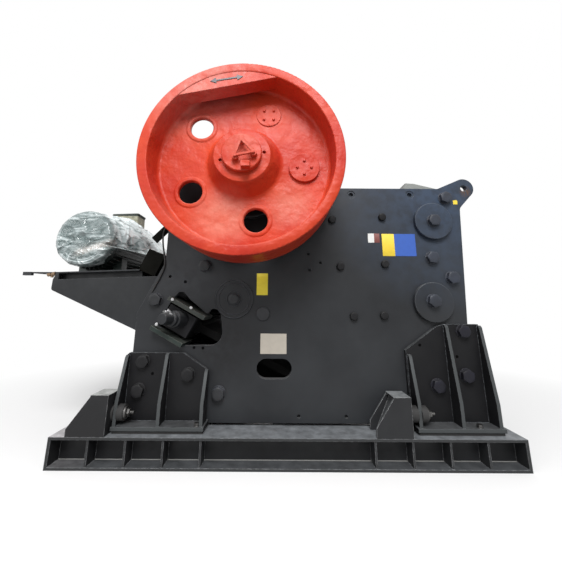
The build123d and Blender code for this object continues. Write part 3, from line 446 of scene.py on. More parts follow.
# Sprayed paint: its tones, scuffed edges that are partly painted highlight, dust on top that is partly
# painted top light, and a painted highlight along a seam, painted highlight further out and painted shade
# inside where it has them
def paintMaterial(name, s):
    material, tree, shader = newMaterial(name)
    rounded = roundedNormal(tree, paintLook["edgeRadius"])
    colour = paintTones(tree, name, s)
    scuff = noiseShare(tree, paintLook["scuff"], paintLook["scuffLeast"])
    # Lighter edges: partly wear, partly painted highlight where edges catch the light
    wornAndLitEdges = times(tree, times(tree, edgeShare(tree, rounded), scuff), s["edgeWearAndHighlightShare"])
    colour = dustedAndTopLit(tree, s, blendColour(tree, wornAndLitEdges, colour, s["edgeWearAndHighlight"]))
    if "seamHighlight" in s:
        colour = blendColour(tree, seamHighlightShare(tree, s["seamHighlight"]), colour, s["seamHighlight"]["colour"])
    # Painted highlight on outer faces that look across, and painted shade inside
    for key, square in (("outerHighlight", True), ("inner", False)):
        if key in s:
            colour = blendColour(tree, acrossShare(tree, s[key], square), colour, s[key]["colour"])
    rough = noiseShare(tree, paintLook["shine"], *s["rough"])
    if "inner" in s:
        rough = calculate(tree, "MAXIMUM", rough, acrossShare(tree, s["inner"], False))
    feed(tree, shader, {"Base Color": colour, "Roughness": rough, "Specular IOR Level": s["gloss"]})
    feed(tree, shader, {"Normal": paintBumps(tree, s, rounded)})
    return material


# Other finishes

rubberSet = {
    "grain": (180.0, 4.0, 0.7), "dark": (0.012, 0.012, 0.013), "light": (0.035, 0.034, 0.033),
    "rough": 0.75, "bump": 0.3, "bumpDepth": 0.0008,
}


def rubberMaterial(name, s):
    material, tree, shader = newMaterial(name)
    grain = cloud(tree, *s["grain"])
    colour = blendColour(tree, grain, s["dark"], s["light"])
    feed(tree, shader, {"Base Color": colour, "Roughness": s["rough"]})
    feed(tree, shader, {"Normal": bumped(tree, grain, s["bump"], s["bumpDepth"])})
    return material


linerSet = {
    "grain": (40.0, 8.0, 0.7), "dark": (0.05, 0.047, 0.045), "light": (0.13, 0.12, 0.115),
    "rust": (6.0, 6.0, 0.7, 0.45, 0.7), "rustColour": (0.14, 0.06, 0.03),
    "grainRange": (0.3, 0.7), "rough": (0.5, 0.8), "metallic": 0.6, "bump": 0.5, "bumpDepth": 0.003,
}


# Cast manganese steel with a thin film of rust in its hollows
def linerMaterial(name, s):
    material, tree, shader = newMaterial(name)
    grain = cloud(tree, *s["grain"])
    metal = blendColour(tree, grain, s["dark"], s["light"])
    colour = blendColour(tree, noiseShare(tree, s["rust"]), metal, s["rustColour"])
    rough = between(tree, grain, *s["grainRange"], *s["rough"])
    feed(tree, shader, {"Base Color": colour, "Roughness": rough, "Metallic": s["metallic"]})
    feed(tree, shader, {"Normal": bumped(tree, grain, s["bump"], s["bumpDepth"])})
    return material


# Steels: dark and light tone of the marks, and the range of the roughness
steels = {
    "machinedSteel": ((0.32, 0.32, 0.33), (0.55, 0.55, 0.56), (0.28, 0.45)),
    "zincSteel": ((0.30, 0.30, 0.31), (0.50, 0.50, 0.50), (0.30, 0.45)),
    "dullSteel": ((0.05, 0.05, 0.05), (0.17, 0.165, 0.16), (0.35, 0.55)),
    "rustySteel": ((0.16, 0.10, 0.06), (0.30, 0.22, 0.15), (0.45, 0.65)),
}
turningMarks = {"stretch": (2.0, 400.0, 2.0), "scale": 3.0, "detail": 4.0, "range": (0.2, 0.8)}


# Bare steel with fine turning marks across Y
def steelMaterial(name, dark, light, rough):
    material, tree, shader = newMaterial(name)
    values = {"Vector": objectPlace(tree), "Scale": turningMarks["stretch"]}
    squeezed = addNode(tree, "ShaderNodeMapping", values).outputs[0]
    values = {"Vector": squeezed, "Scale": turningMarks["scale"], "Detail": turningMarks["detail"]}
    marks = addNode(tree, "ShaderNodeTexNoise", values).outputs["Fac"]
    colour = blendColour(tree, marks, dark, light)
    rough = between(tree, marks, *turningMarks["range"], *rough)
    feed(tree, shader, {"Base Color": colour, "Metallic": 1.0, "Roughness": rough})
    return material


# Plain finishes: colour, roughness, metallic share and gloss
plains = {
    # near-black discs as painted shade in holes
    "holeShadeBlack": ((0.002, 0.002, 0.002), 0.9, 0.0, 0.05),
    "lipSteel": ((0.22, 0.23, 0.22), 0.55, 0.3, 0.5),
    "arrowGrey": ((0.060, 0.055, 0.065), 0.45, 0.0, 0.5),
    "blankYellow": ((0.85, 0.62, 0.05), 0.5, 0.0, 0.5),
    "brightYellow": ((0.98, 0.80, 0.05), 0.5, 0.0, 0.5),
    "blankBlue": ((0.03, 0.10, 0.42), 0.5, 0.0, 0.5),
    "blankRed": ((0.20, 0.06, 0.05), 0.5, 0.0, 0.5),
    "blankWhite": ((0.75, 0.75, 0.73), 0.5, 0.0, 0.5),
    "namePlate": ((0.46, 0.42, 0.36), 0.42, 0.3, 0.5),
}
stainSet = {"noise": (25.0, 4.0, 0.6, 0.3, 0.75), "least": 0.75, "dull": 0.6}


# One colour that is a little duller in stains
def plainMaterial(name, colour, rough, metallic, gloss):
    material, tree, shader = newMaterial(name)
    stain = noiseShare(tree, stainSet["noise"], 1.0, stainSet["least"])
    dull = tuple(stainSet["dull"] * part for part in colour)
    feed(tree, shader, {"Base Color": blendColour(tree, stain, dull, colour), "Roughness": rough})
    feed(tree, shader, {"Metallic": metallic, "Specular IOR Level": gloss})
    return material


filmLook = {
    "clear": (0.24, 0.31, 0.31), "milky": (0.82, 0.90, 0.91), "tinted": (0.52, 0.40, 0.33),
    "haze": (22.0, 5.0, 0.7, 0.40, 0.72), "hazeShare": 0.15,
    # slanting streaks of painted highlight
    "highlightStreak": {"slant": 0.75, "scale": (4, 6, 30), "range": (0.52, 0.66), "share": 0.60},
    "fleck": {"slant": -0.55, "scale": (9, 12, 30), "range": (0.50, 0.62), "share": 0.45},
    "crumple": {"slant": 0.6, "scale": (8, 10, 30), "bump": 0.6, "bumpDepth": 0.008},
    "alpha": (0.50, 0.97), "rough": (0.10, 0.30), "gloss": 0.8,
}


# Noise drawn out along a line that slants in the X-Z plane
def slantCloud(tree, s):
    values = {"Vector": objectPlace(tree), "Rotation": (0.0, s["slant"], 0.0), "Scale": s["scale"]}
    turned = addNode(tree, "ShaderNodeMapping", values).outputs[0]
    values = {"Vector": turned, "Scale": 1.0, "Detail": 3.0}
    return addNode(tree, "ShaderNodeTexNoise", values).outputs["Fac"]


def slantShare(tree, s):
    return between(tree, slantCloud(tree, s), *s["range"], 0.0, s["share"])


# Clear film: it lets most light through and shines; its folds and its milky parts are whiter, and slanting
# streaks of painted highlight whiten it more. The mesh carries how milky it is, with painted light in it, and
# how much it is tinted, as attributes
def filmMaterial(name, s):
    material, tree, shader = newMaterial(name)
    milkAndLight = addNode(tree, "ShaderNodeAttribute", attribute_name="milkAndLight").outputs["Fac"]
    tint = addNode(tree, "ShaderNodeAttribute", attribute_name="tint").outputs["Fac"]
    haze = noiseShare(tree, s["haze"])
    milkAndLight = calculate(tree, "MAXIMUM", milkAndLight, slantShare(tree, s["highlightStreak"]))
    milkAndLight = calculate(tree, "SUBTRACT", milkAndLight, slantShare(tree, s["fleck"]), use_clamp=True)
    colour = blendColour(tree, milkAndLight, s["clear"], s["milky"])
    colour = blendColour(tree, tint, colour, s["tinted"])
    solid = calculate(tree, "ADD", milkAndLight, times(tree, haze, s["hazeShare"]))
    solid = calculate(tree, "MAXIMUM", solid, tint)
    crumple = s["crumple"]
    feed(tree, shader, {
        "Base Color": colour,
        "Alpha": between(tree, solid, 0.0, 1.0, *s["alpha"]),
        "Roughness": between(tree, haze, 0.0, 1.0, *s["rough"]),
        "Specular IOR Level": s["gloss"],
        "Normal": bumped(tree, slantCloud(tree, crumple), crumple["bump"], crumple["bumpDepth"]),
    })
    return material


terminalSet = {
    "stain": (14.0, 5.0, 0.7, 0.35, 0.65), "dark": (0.14, 0.14, 0.10), "khaki": (0.42, 0.41, 0.31),
    "lid": (0.045, 0.055, 0.048), "lidFrom": (2.118, 2.124), "rough": 0.5, "gloss": 0.3,
}


# Khaki box under a dark lid
def terminalMaterial(name, s):
    material, tree, shader = newMaterial(name)
    lid = between(tree, axisPart(tree, objectPlace(tree), "Z"), *s["lidFrom"])
    side = blendColour(tree, noiseShare(tree, s["stain"]), s["dark"], s["khaki"])
    feed(tree, shader, {"Base Color": blendColour(tree, lid, side, s["lid"])})
    feed(tree, shader, {"Roughness": s["rough"], "Specular IOR Level": s["gloss"]})
    return material


materials = {name: paintMaterial(name, s) for name, s in paints.items()}
materials.update({name: steelMaterial(name, *s) for name, s in steels.items()})
materials.update({name: plainMaterial(name, *s) for name, s in plains.items()})
materials["clearFilm"] = filmMaterial("clearFilm", filmLook)
materials["bufferRubber"] = rubberMaterial("bufferRubber", rubberSet)
materials["linerSteel"] = linerMaterial("linerSteel", linerSet)
materials["boxPaint"] = terminalMaterial("boxPaint", terminalSet)

finishOfSlot = {
    "frame_paint": "framePaint", "base_paint": "basePaint", "wheel_paint": "wheelPaint",
    "machined_steel": "machinedSteel", "liner_steel": "linerSteel", "buffer_rubber": "bufferRubber",
    "motor_paint": "motorPaint",
}
nodesOfFinish = {
    # innerPaint is painted shade: the toggle plate and the pitman deep inside are near black
    "innerPaint": ["toggle_plate", "pitman"],
    # darkPaint is partly painted shade on the motor crossbeam, which lies in shade
    "darkPaint": ["motor_crossbeam", "guard_bars"],
    "beamPaint": ["toggle_beam"],
    "railPaint": ["toggle_rails_near", "toggle_rails_far"],
    "stopPaint": ["stops_rear", "stops_front"],
    "shadedFootPaint": ["foot_rear_near", "foot_rear_far", "foot_front_near", "foot_front_far"],
    "lipSteel": ["feed_lip"],
    "boxPaint": ["motor_terminal_box"],
}
finishOfNode = {node: finish for finish, pieces in nodesOfFinish.items() for node in pieces}
sharpFrom = 32.0      # degrees between two faces from which their edge is sharp
weldGap = 0.00001


# Welds the loose triangles and keeps only edges sharper than the limit sharp
def smoothByAngle(limitDegrees):
    group = bpy.data.node_groups.new("smoothByAngle", "GeometryNodeTree")
    group.interface.new_socket("Geometry", in_out="INPUT", socket_type="NodeSocketGeometry")
    group.interface.new_socket("Geometry", in_out="OUTPUT", socket_type="NodeSocketGeometry")
    start = group.nodes.new("NodeGroupInput")
    end = group.nodes.new("NodeGroupOutput")
    weld = addNode(group, "GeometryNodeMergeByDistance", {"Geometry": start.outputs[0], "Distance": weldGap})
    angle = addNode(group, "GeometryNodeInputMeshEdgeAngle").outputs["Unsigned Angle"]
    values = {0: angle, 1: math.radians(limitDegrees)}
    soft = addNode(group, "FunctionNodeCompare", values, operation="LESS_THAN").outputs[0]
    values = {"Geometry": weld.outputs[0], "Shade Smooth": True}
    faces = addNode(group, "GeometryNodeSetShadeSmooth", values, domain="FACE")
    values = {"Geometry": faces.outputs[0], "Shade Smooth": soft}
    edges = addNode(group, "GeometryNodeSetShadeSmooth", values, domain="EDGE")
    group.links.new(edges.outputs[0], end.inputs[0])
    return group


def finishNodes():
    smoother = smoothByAngle(sharpFrom)
    for entry in frame["record"]["subparts"]:
        piece = nodes[entry["node"]]
        piece.data.materials.clear()
        finish = finishOfNode.get(entry["node"], finishOfSlot[entry["material_slot"]])
        piece.data.materials.append(materials[finish])
        step = piece.modifiers.new("smooth", "NODES")
        step.node_group = smoother


finishNodes()
print("finishes")

# Mesh helpers


# A mesh object at the origin that rides on a body; a skin is (verts, faces)
def addPiece(name, skin, material, body):
    verts, faces = skin
    mesh = bpy.data.meshes.new(name)
    mesh.from_pydata(np.asarray(verts).tolist(), [], faces)
    mesh.materials.append(materials[material])
    mesh.shade_smooth()
    mesh.set_sharp_from_angle(angle=math.radians(sharpFrom))
    piece = bpy.data.objects.new(name, mesh)
    bpy.context.scene.collection.objects.link(piece)
    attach(piece, body)
    return piece


# Closed tubes from rings[copy, level, around, xyz]: quads join each ring to the next one, and the first
# and the last ring are shut by a flat lid
def skinRings(rings):
    copies, levels, around, _ = rings.shape
    first = np.arange(copies)[:, None, None] * levels * around
    start = first + np.arange(levels - 1)[None, :, None] * around
    step = np.arange(around)[None, None, :]
    ahead = (step + 1) % around
    corners = [start + step, start + ahead, start + around + ahead, start + around + step]
    quads = np.stack(corners, -1).reshape(-1, 4)
    lowLids = first[..., 0] + np.arange(around)[::-1]
    highLids = first[..., 0] + (levels - 1) * around + np.arange(around)
    return rings.reshape(-1, 3), quads.tolist() + lowLids.tolist() + highLids.tolist()


def joinSkins(skins):
    verts = np.concatenate([skin[0] for skin in skins])
    starts = np.cumsum([0] + [len(skin[0]) for skin in skins])
    faces = [[index + int(start) for index in face] for start, skin in zip(starts, skins) for face in skin[1]]
    return verts, faces


# The skin and its mirror image on the far side
def bothSides(skin):
    verts, faces = skin
    return joinSkins([skin, (verts * (1, -1, 1), [face[::-1] for face in faces])])


# Two unit vectors square to an axis, so that first x second = axis; an axis close to Z is crossed with X
def axisFrame(axis):
    axis = np.asarray(axis, float) / np.linalg.norm(axis)
    helper = np.array([0.0, 0.0, 1.0]) if abs(axis[2]) < 0.9 else np.array([1.0, 0.0, 0.0])
    second = np.cross(axis, helper)
    second = second / np.linalg.norm(second)
    first = np.cross(second, axis)
    return first, second, axis


# Copies of a turned shape: at each level, centre + radius around + height along the axis.
# radii is levels or levels x around, and turns rotates each copy
def spun(centres, axis, radii, heights, turns=None, around=32):
    first, second, along = axisFrame(axis)
    radii = np.asarray(radii, float)
    heights = np.asarray(heights, float)
    if radii.ndim == 2:
        around = radii.shape[1]
    radii = np.broadcast_to(radii if radii.ndim == 2 else radii[:, None], (len(heights), around))
    heights = np.broadcast_to(heights if heights.ndim == 2 else heights[:, None], (len(heights), around))
    angle = np.arange(around) / around * 2 * np.pi
    centres = np.asarray(centres, float)
    turns = np.zeros(len(centres)) if turns is None else np.asarray(turns)
    theta = (angle[None, :] + turns[:, None])[:, None, :, None]
    out = radii[None, ..., None] * (np.cos(theta) * first + np.sin(theta) * second)
    return centres[:, None, None, :] + out + heights[None, ..., None] * along


# Bolt heads: points round, the washer as a share of the flats, the crown of half the flats and the cap of
# the crown, how steep the chamfer is, how far the washer is sunk and its edge broken, and by how many
# radians each head is turned past the last one
headShape = {
    "around": 36, "washer": 0.62, "crown": 0.95, "cap": 0.6,
    "chamfer": 0.6, "edge": 0.002, "turn": 2.4,
}


# Radius of a hexagon: half the flats over the cosine of the angle from the nearest flat's middle
def hexRadius(acrossFlats, around):
    angle = np.arange(around) / around * 2 * np.pi
    fold = (angle + np.pi / 6) % (np.pi / 3) - np.pi / 6
    return acrossFlats / 2 / np.cos(fold)


# Hexagon heads on round washers: up the washer's rim and over its edge, in to the hexagon, up its sides,
# which end lower the further they stand out from the crown, over the crown and in to the cap
def hexHeads(centres, axis, acrossFlats, height, washer):
    around, edge = headShape["around"], headShape["edge"]
    corner = hexRadius(acrossFlats, around)
    crown = acrossFlats / 2 * headShape["crown"]
    rim = acrossFlats * headShape["washer"]
    slope = height - (corner - crown) * headShape["chamfer"]
    radii = [rim, rim, rim - edge, corner, corner, crown, crown * headShape["cap"]]
    levels = [-edge, washer - edge, washer, washer, slope, height, height]
    radii, levels = [np.stack([np.broadcast_to(row, around) for row in rows]) for rows in (radii, levels)]
    turns = np.arange(len(centres)) * headShape["turn"]
    return skinRings(spun(centres, axis, radii, levels, turns))


# Round heads: radius and height as shares, from below the face over the rounded edge to the top
roundShape = {"radii": [1.0, 1.0, 0.94, 0.80, 0.5], "levels": [-0.1, 0.6, 0.85, 0.97, 1.0]}


def roundHeads(centres, axis, radius, height):
    radii = radius * np.array(roundShape["radii"])
    return skinRings(spun(centres, axis, radii, height * np.array(roundShape["levels"])))


# A low ridge round a centre, as shares of its width and height: up its outer side, over, down its inner
# side and shut below the face
ridgeShape = {
    "across": [0.5, 0.5, 0.3, -0.3, -0.5, -0.5], "rise": [0.0, 0.3, 1.0, 1.0, 0.3, 0.0],
    "sunk": [0.0020, 0.0, 0.0, 0.0, 0.0, 0.0015], "around": 72,
}


def ridge(centres, axis, radius, width, height):
    radii = radius + width * np.array(ridgeShape["across"])
    levels = height * np.array(ridgeShape["rise"]) - np.array(ridgeShape["sunk"])
    return skinRings(spun(centres, axis, radii, levels, around=ridgeShape["around"]))


plateEdge = {"sunk": 0.001, "inward": 0.0015, "rise": 0.0008}


# A closed plate on the near side, with its corners as (x, z) and the distance of the face it stands on:
# the outline a little below the face, at its thickness, and drawn in to its middle as a small chamfer.
# The sign of the outline's area tells which way its faces look
def flatPlate(corners, face, thick):
    x, z = np.asarray(corners, float).T
    low = np.stack([x, np.full(len(x), plateEdge["sunk"] - face), z], -1)
    high = low - (0, thick + plateEdge["sunk"], 0)
    inward = low.mean(axis=0) - low
    inward = inward / np.linalg.norm(inward, axis=1)[:, None] * plateEdge["inward"]
    top = high + inward - (0, plateEdge["rise"], 0)
    verts, faces = skinRings(np.stack([low, high, top])[None])
    area = 0.5 * np.sum(x * np.roll(z, -1) - np.roll(x, -1) * z)
    if area < 0:
        faces = [loop[::-1] for loop in faces]
    return verts, faces


def boxCorners(centre, size):
    x, z = centre
    w, h = size[0] / 2, size[1] / 2
    return [(x - w, z - h), (x + w, z - h), (x + w, z + h), (x - w, z + h)]


# How far the faces of the side plates and feet lie from the middle plane, and which way the near side looks
plateFace = 0.635
footFace = 0.670
near = (0, -1, 0)


# Places (x, z) on the near side, at a distance from the middle plane
def onFace(places, face):
    return [(x, -face, z) for x, z in places]


# Bolts on the side plates: on the plate itself, on the clamp discs, and in the ring with its low ridges

plateBolts = {
    "large": [
        (-0.689, 1.408), (-1.075, 1.127), (1.392, 2.020), (1.224, 1.487), (1.374, 1.320), (-0.529, 0.426),
    ],
    "largeFlats": 0.090, "largeHeight": 0.046, "largeWasher": 0.006,
    "cheek": [
        (0.391, 1.817), (0.826, 1.841), (0.448, 1.409), (0.823, 1.431), (0.541, 1.004), (0.786, 1.011),
    ],
    "cheekRadius": 0.033, "cheekHeight": 0.030,
    "discs": [(1.249, 1.801), (1.179, 1.129)], "discFace": 0.675,
    "low": (-0.196, 1.018), "lowRadius": 0.054, "lowHeight": 0.016,
    "ring": [(-0.434, 1.137)], "ringFace": 0.643,
    "ringFlats": 0.075, "ringHeight": 0.034, "ringWasher": 0.005,
    "ridges": [0.152, 0.126, 0.060], "ridgeWidth": 0.007, "ridgeHeight": 0.004,
}


def addPlateBolts(s):
    largeSizes = (s["largeFlats"], s["largeHeight"], s["largeWasher"])
    large = hexHeads(onFace(s["large"], plateFace), near, *largeSizes)
    discs = hexHeads(onFace(s["discs"], s["discFace"]), near, *largeSizes)
    cheek = roundHeads(onFace(s["cheek"], plateFace), near, s["cheekRadius"], s["cheekHeight"])
    low = roundHeads(onFace([s["low"]], plateFace), near, s["lowRadius"], s["lowHeight"])
    place = onFace(s["ring"], s["ringFace"])
    ring = hexHeads(place, near, s["ringFlats"], s["ringHeight"], s["ringWasher"])
    ridgeSizes = (s["ridgeWidth"], s["ridgeHeight"])
    ridges = joinSkins([ridge(place, near, radius, *ridgeSizes) for radius in s["ridges"]])
    addPiece("plateBolts", bothSides(joinSkins([large, ring, low])), "boltPaint", "frame")
    addPiece("cheekBolts", bothSides(cheek), "smallBoltPaint", "frame")
    addPiece("discBolts", bothSides(discs), "boltPaint", "frame")
    addPiece("discRidges", bothSides(ridges), "boltPaint", "frame")


addPlateBolts(plateBolts)

# Bolts through the feet

footBolts = {
    "places": [
        (-1.113, 0.659), (-1.130, 0.452), (-0.760, 0.566), (1.387, 0.896), (1.146, 0.497), (1.375, 0.570),
    ],
    "flats": 0.086, "height": 0.042, "washer": 0.006,
}


def addFootBolts(s):
    heads = hexHeads(onFace(s["places"], footFace), near, s["flats"], s["height"], s["washer"])
    addPiece("footBolts", bothSides(heads), "smallBoltPaint", "frame")


addFootBolts(footBolts)

# Near-black discs as painted shade in the spare holes of the feet and below the window; a row is x and z

holeShadeSet = {
    "feet": [(-1.036, 0.571), (1.040, 0.790), (1.322, 0.706)],
    "plates": [(-0.668, 0.754), (-0.739, 0.757)],
    "radius": 0.011, "height": 0.002,
}


def addHoleShades(s):
    feet = roundHeads(onFace(s["feet"], footFace), near, s["radius"], s["height"])
    plates = roundHeads(onFace(s["plates"], plateFace), near, s["radius"], s["height"])
    addPiece("holeShades", bothSides(joinSkins([feet, plates])), "holeShadeBlack", "frame")


addHoleShades(holeShadeSet)

# Nuts of the anchor bolts on the feet; a row is x, y and z

anchorNuts = {
    "places": [(-0.650, -0.765, 0.245), (1.372, -0.765, 0.245)],
    "flats": 0.036, "height": 0.022, "washer": 0.004,
}


def addAnchorNuts(s):
    heads = hexHeads(s["places"], (0, 0, 1), s["flats"], s["height"], s["washer"])
    addPiece("anchorNuts", bothSides(heads), "dullSteel", "frame")


addAnchorNuts(anchorNuts)

# Domed washers, nuts and studs of the buffers; starts are the places in x where the washers stand

bufferFittings = {
    "starts": [-1.177, 1.004], "y": -0.745, "z": 0.325,
    "washerRadius": 0.046, "washer": 0.006, "dome": 0.014, "domeTop": 0.45, "domeRings": 7,
    "flats": 0.050, "nut": 0.030,
    "stud": 0.013, "studLength": 0.056, "threadDepth": 0.0012, "studRings": 24, "studAround": 20,
}


# A washer's radius falls with a cosine to its share at the top while its height grows with a sine, and a
# stud's radius steps in and out from ring to ring
def addBufferFittings(s):
    centres = [(x, s["y"], s["z"]) for x in s["starts"]]
    along = (1, 0, 0)
    slope = np.linspace(0, np.pi / 2, s["domeRings"])
    falling = s["domeTop"] + (1 - s["domeTop"]) * np.cos(slope)
    radii = s["washerRadius"] * np.concatenate([[1.0], falling])
    levels = np.concatenate([[-0.001], s["washer"] + s["dome"] * np.sin(slope)])
    washers = skinRings(spun(centres, along, radii, levels))
    nuts = hexHeads(centres, along, s["flats"], s["washer"] + s["nut"], s["washer"])
    ring = np.arange(s["studRings"])
    radii = s["stud"] - s["threadDepth"] * (ring % 2)
    levels = s["washer"] + ring / (s["studRings"] - 1) * s["studLength"]
    studs = skinRings(spun(centres, along, radii, levels, around=s["studAround"]))
    skin = bothSides(joinSkins([washers, nuts, studs]))
    addPiece("bufferFittings", skin, "dullSteel", "frame")


addBufferFittings(bufferFittings)

# Bright bolt heads on the rails of the toggle beam

railBolts = {
    "places": [(-0.911, 1.128), (-0.760, 1.065), (-1.020, 0.938)],
    "face": 0.715, "radius": 0.013, "height": 0.012,
}


def addRailBolts(s):
    heads = roundHeads(onFace(s["places"], s["face"]), near, s["radius"], s["height"])
    addPiece("railBolts", bothSides(heads), "zincSteel", "frame")


addRailBolts(railBolts)

# Blank plates where labels sit

plateThick = 0.0012
blankPlates = {
    "smallYellow": {"centre": (-0.206, 1.258), "size": (0.092, 0.178), "material": "brightYellow"},
    "yellowField": {"centre": (0.8663, 1.597), "size": (0.1056, 0.193), "material": "blankYellow"},
    "blueField": {"centre": (1.0096, 1.597), "size": (0.1810, 0.193), "material": "blankBlue"},
    "smallWhite": {"centre": (0.7215, 1.656), "size": (0.053, 0.080), "material": "blankWhite"},
    "smallRed": {"centre": (0.7715, 1.656), "size": (0.047, 0.080), "material": "blankRed"},
    "eyeLabel": {"centre": (1.486, 1.984), "size": (0.038, 0.038), "material": "blankYellow"},
    "nameplate": {"centre": (-0.109, 0.789), "size": (0.208, 0.154), "material": "namePlate"},
}


def addBlankPlates(s):
    for name, plate in s.items():
        skin = flatPlate(boxCorners(plate["centre"], plate["size"]), plateFace, plateThick)
        addPiece(name, skin, plate["material"], "frame")


addBlankPlates(blankPlates)

# Double arrow on the counterweight; half is half its length, and lean is in degrees

arrowSet = {
    "middle": (-0.478, 2.779), "lean": 10.3, "face": 1.174, "thick": 0.004,
    "half": 0.127, "head": 0.045, "headHalf": 0.024, "barHalf": 0.006,
}


# Ten corners from the left tip round: heads as wide as headHalf at either end of a bar, then turned
def addArrow(s):
    tip, wide, bar = s["half"], s["headHalf"], s["barHalf"]
    neck = tip - s["head"]
    under = [(-tip, 0), (-neck, -wide), (-neck, -bar), (neck, -bar), (neck, -wide)]
    shape = np.array(under + [(tip, 0), (neck, wide), (neck, bar), (-neck, bar), (-neck, wide)])
    lean = math.radians(s["lean"])
    turn = np.array([(math.cos(lean), math.sin(lean)), (-math.sin(lean), math.cos(lean))])
    skin = flatPlate(shape @ turn + s["middle"], s["face"], s["thick"])
    addPiece("turnArrow", skin, "arrowGrey", "rotor")


addArrow(arrowSet)

# Screws on the covers of the flywheel; a cover is its angle, its thickness and its first screw's angle

coverScrews = {
    "shaft": (-0.345, 2.164), "circle": 0.469, "webFace": 0.985,
    "covers": [(66.4, 0.008, 45.0), (355.9, 0.025, 0.0)],
    "perCover": 4, "ring": 0.055, "radius": 0.011, "height": 0.014,
}


# Each cover's middle lies on a circle round the shaft, and its screws on a ring round that middle
def addCoverScrews(s):
    heads = []
    for angle, thick, first in s["covers"]:
        x = s["shaft"][0] + s["circle"] * math.cos(math.radians(angle))
        z = s["shaft"][1] + s["circle"] * math.sin(math.radians(angle))
        turn = np.radians(first + np.arange(s["perCover"]) * 360 / s["perCover"])
        places = np.stack([x + s["ring"] * np.cos(turn), z + s["ring"] * np.sin(turn)], -1)
        heads.append(roundHeads(onFace(places, s["webFace"] + thick), near, s["radius"], s["height"]))
    addPiece("coverScrews", bothSides(joinSkins(heads)), "wheelPaint", "rotor")


addCoverScrews(coverScrews)
print("bolts, plates and screws")

# Thin black hose from the guard bar down along the edge of the side plate

hoseSet = {
    "points": [
        (-1.045, -0.578, 1.800), (-1.076, -0.596, 1.745), (-1.083, -0.597, 1.664), (-1.071, -0.603, 1.582),
        (-1.046, -0.622, 1.501), (-1.024, -0.644, 1.436), (-1.033, -0.645, 1.370), (-1.060, -0.645, 1.303),
        (-1.088, -0.645, 1.245), (-1.108, -0.642, 1.200), (-1.118, -0.628, 1.181),
    ],
    "radius": 0.007,
}


# The points are the control points of the spline, and a mesh made from it is thrown away before it gets its
# thickness
def addHose(s):
    data = bpy.data.curves.new("hose", "CURVE")
    data.dimensions = "3D"
    data.resolution_u = 16
    spline = data.splines.new("NURBS")
    spline.points.add(len(s["points"]) - 1)
    spline.points.foreach_set("co", [number for point in s["points"] for number in (*point, 1.0)])
    spline.order_u = 3
    spline.use_endpoint_u = True
    hose = bpy.data.objects.new("hose", data)
    bpy.context.scene.collection.objects.link(hose)
    line = bpy.data.meshes.new_from_object(hose)
    bpy.data.meshes.remove(line)
    data.bevel_depth = s["radius"]
    data.bevel_resolution = 4
    data.use_fill_caps = True
    data.materials.append(materials["bufferRubber"])
    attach(hose, "frame")


addHose(hoseSet)

# Couplings on the setting cylinder and a fitting at the root of the rear arm; a row is start, end and radius

fittings = {
    "bright": [
        ((-0.975, -0.715, 1.035), (-0.935, -0.760, 1.030), 0.011),
        ((-0.945, -0.700, 1.050), (-0.925, -0.760, 1.036), 0.009),
        ((-0.920, -0.740, 1.040), (-0.893, -0.775, 1.012), 0.010),
    ],
    "brown": [
        ((-2.125, -0.470, 1.340), (-2.055, -0.470, 1.352), 0.016),
        ((-2.085, -0.470, 1.318), (-2.085, -0.470, 1.350), 0.012),
    ],
}
couplingShape = {
    "radii": [0.8, 1.0, 1.0, 0.7, 0.7, 1.15, 1.15, 0.9],
    "levels": [0.0, 0.03, 0.40, 0.42, 0.60, 0.62, 0.97, 1.0], "around": 20,
}


# A collar, a neck and a wider collar in a row, as shares of the radius and of the length
def coupling(start, end, radius):
    start, end = np.asarray(start), np.asarray(end)
    length = float(np.linalg.norm(end - start))
    radii = radius * np.array(couplingShape["radii"])
    levels = length * np.array(couplingShape["levels"])
    return skinRings(spun([start], end - start, radii, levels, around=couplingShape["around"]))


def addFittings(s):
    for name, material in (("bright", "zincSteel"), ("brown", "rustySteel")):
        rods = joinSkins([coupling(*row) for row in s[name]])
        addPiece(name + "Fittings", rods, material, "frame")


addFittings(fittings)
print("hose and fittings")

# Film over the fan end of the motor. theta, and degrees with it, runs round the motor from +X towards the
# top; run is the way from the middle of the cap over its rim and back along the motor to the hem. A pair
# is mostly the range over which something comes in

filmSet = {
    "centre": (-1.877, 1.690), "front": -0.440, "radius": 0.262, "rim": 0.034,
    "flare": 0.030, "flareBack": (0.05, 0.20), "puff": 0.045, "puffBack": (0.25, 0.55),
    "around": 320, "rows": 210, "firstRow": 0.012, "seed": 11,
    "capHem": 0.06, "sleeve": 0.62, "sleeveAngles": ((-18.0, -9.0), (205.0, 214.0)),
    "longer": 0.34, "longerAngles": ((-12.0, 0.0), (44.0, 52.0)),
    "ragged": [(0.02, 5, 1), (0.012, 13, 2), (0.006, 31, 0)],
    "broad": {"count": 150, "depth": (0.004, 0.013), "width": (0.010, 0.028), "reach": (0.07, 0.20)},
    "fine": {"count": 420, "depth": (0.003, 0.008), "width": (0.005, 0.012), "reach": (0.04, 0.10)},
    "creaseSigns": (-0.6, 1.0), "fineOnCap": 0.30, "fineOnSleeve": 0.90, "sleevePast": (-0.02, 0.08),
    "gathers": 11, "gatherDepth": 0.010, "gatherUnder": (-0.1, 0.8), "gatherRun": (0.10, 0.22),
    "wanderAlong": (0.35, 11), "wanderRound": (0.25, 3),
    "rimHold": 0.65, "rimTurn": (0.2, 1.0), "rimPast": (0.06, 0.20),
    "foldLimits": (-0.008, 0.03), "foldRun": (0.0, 0.05),
    "flap": 0.12, "flapDrop": 0.02, "flapSpread": 14.0, "flapRows": (0.62, 1.0),
}

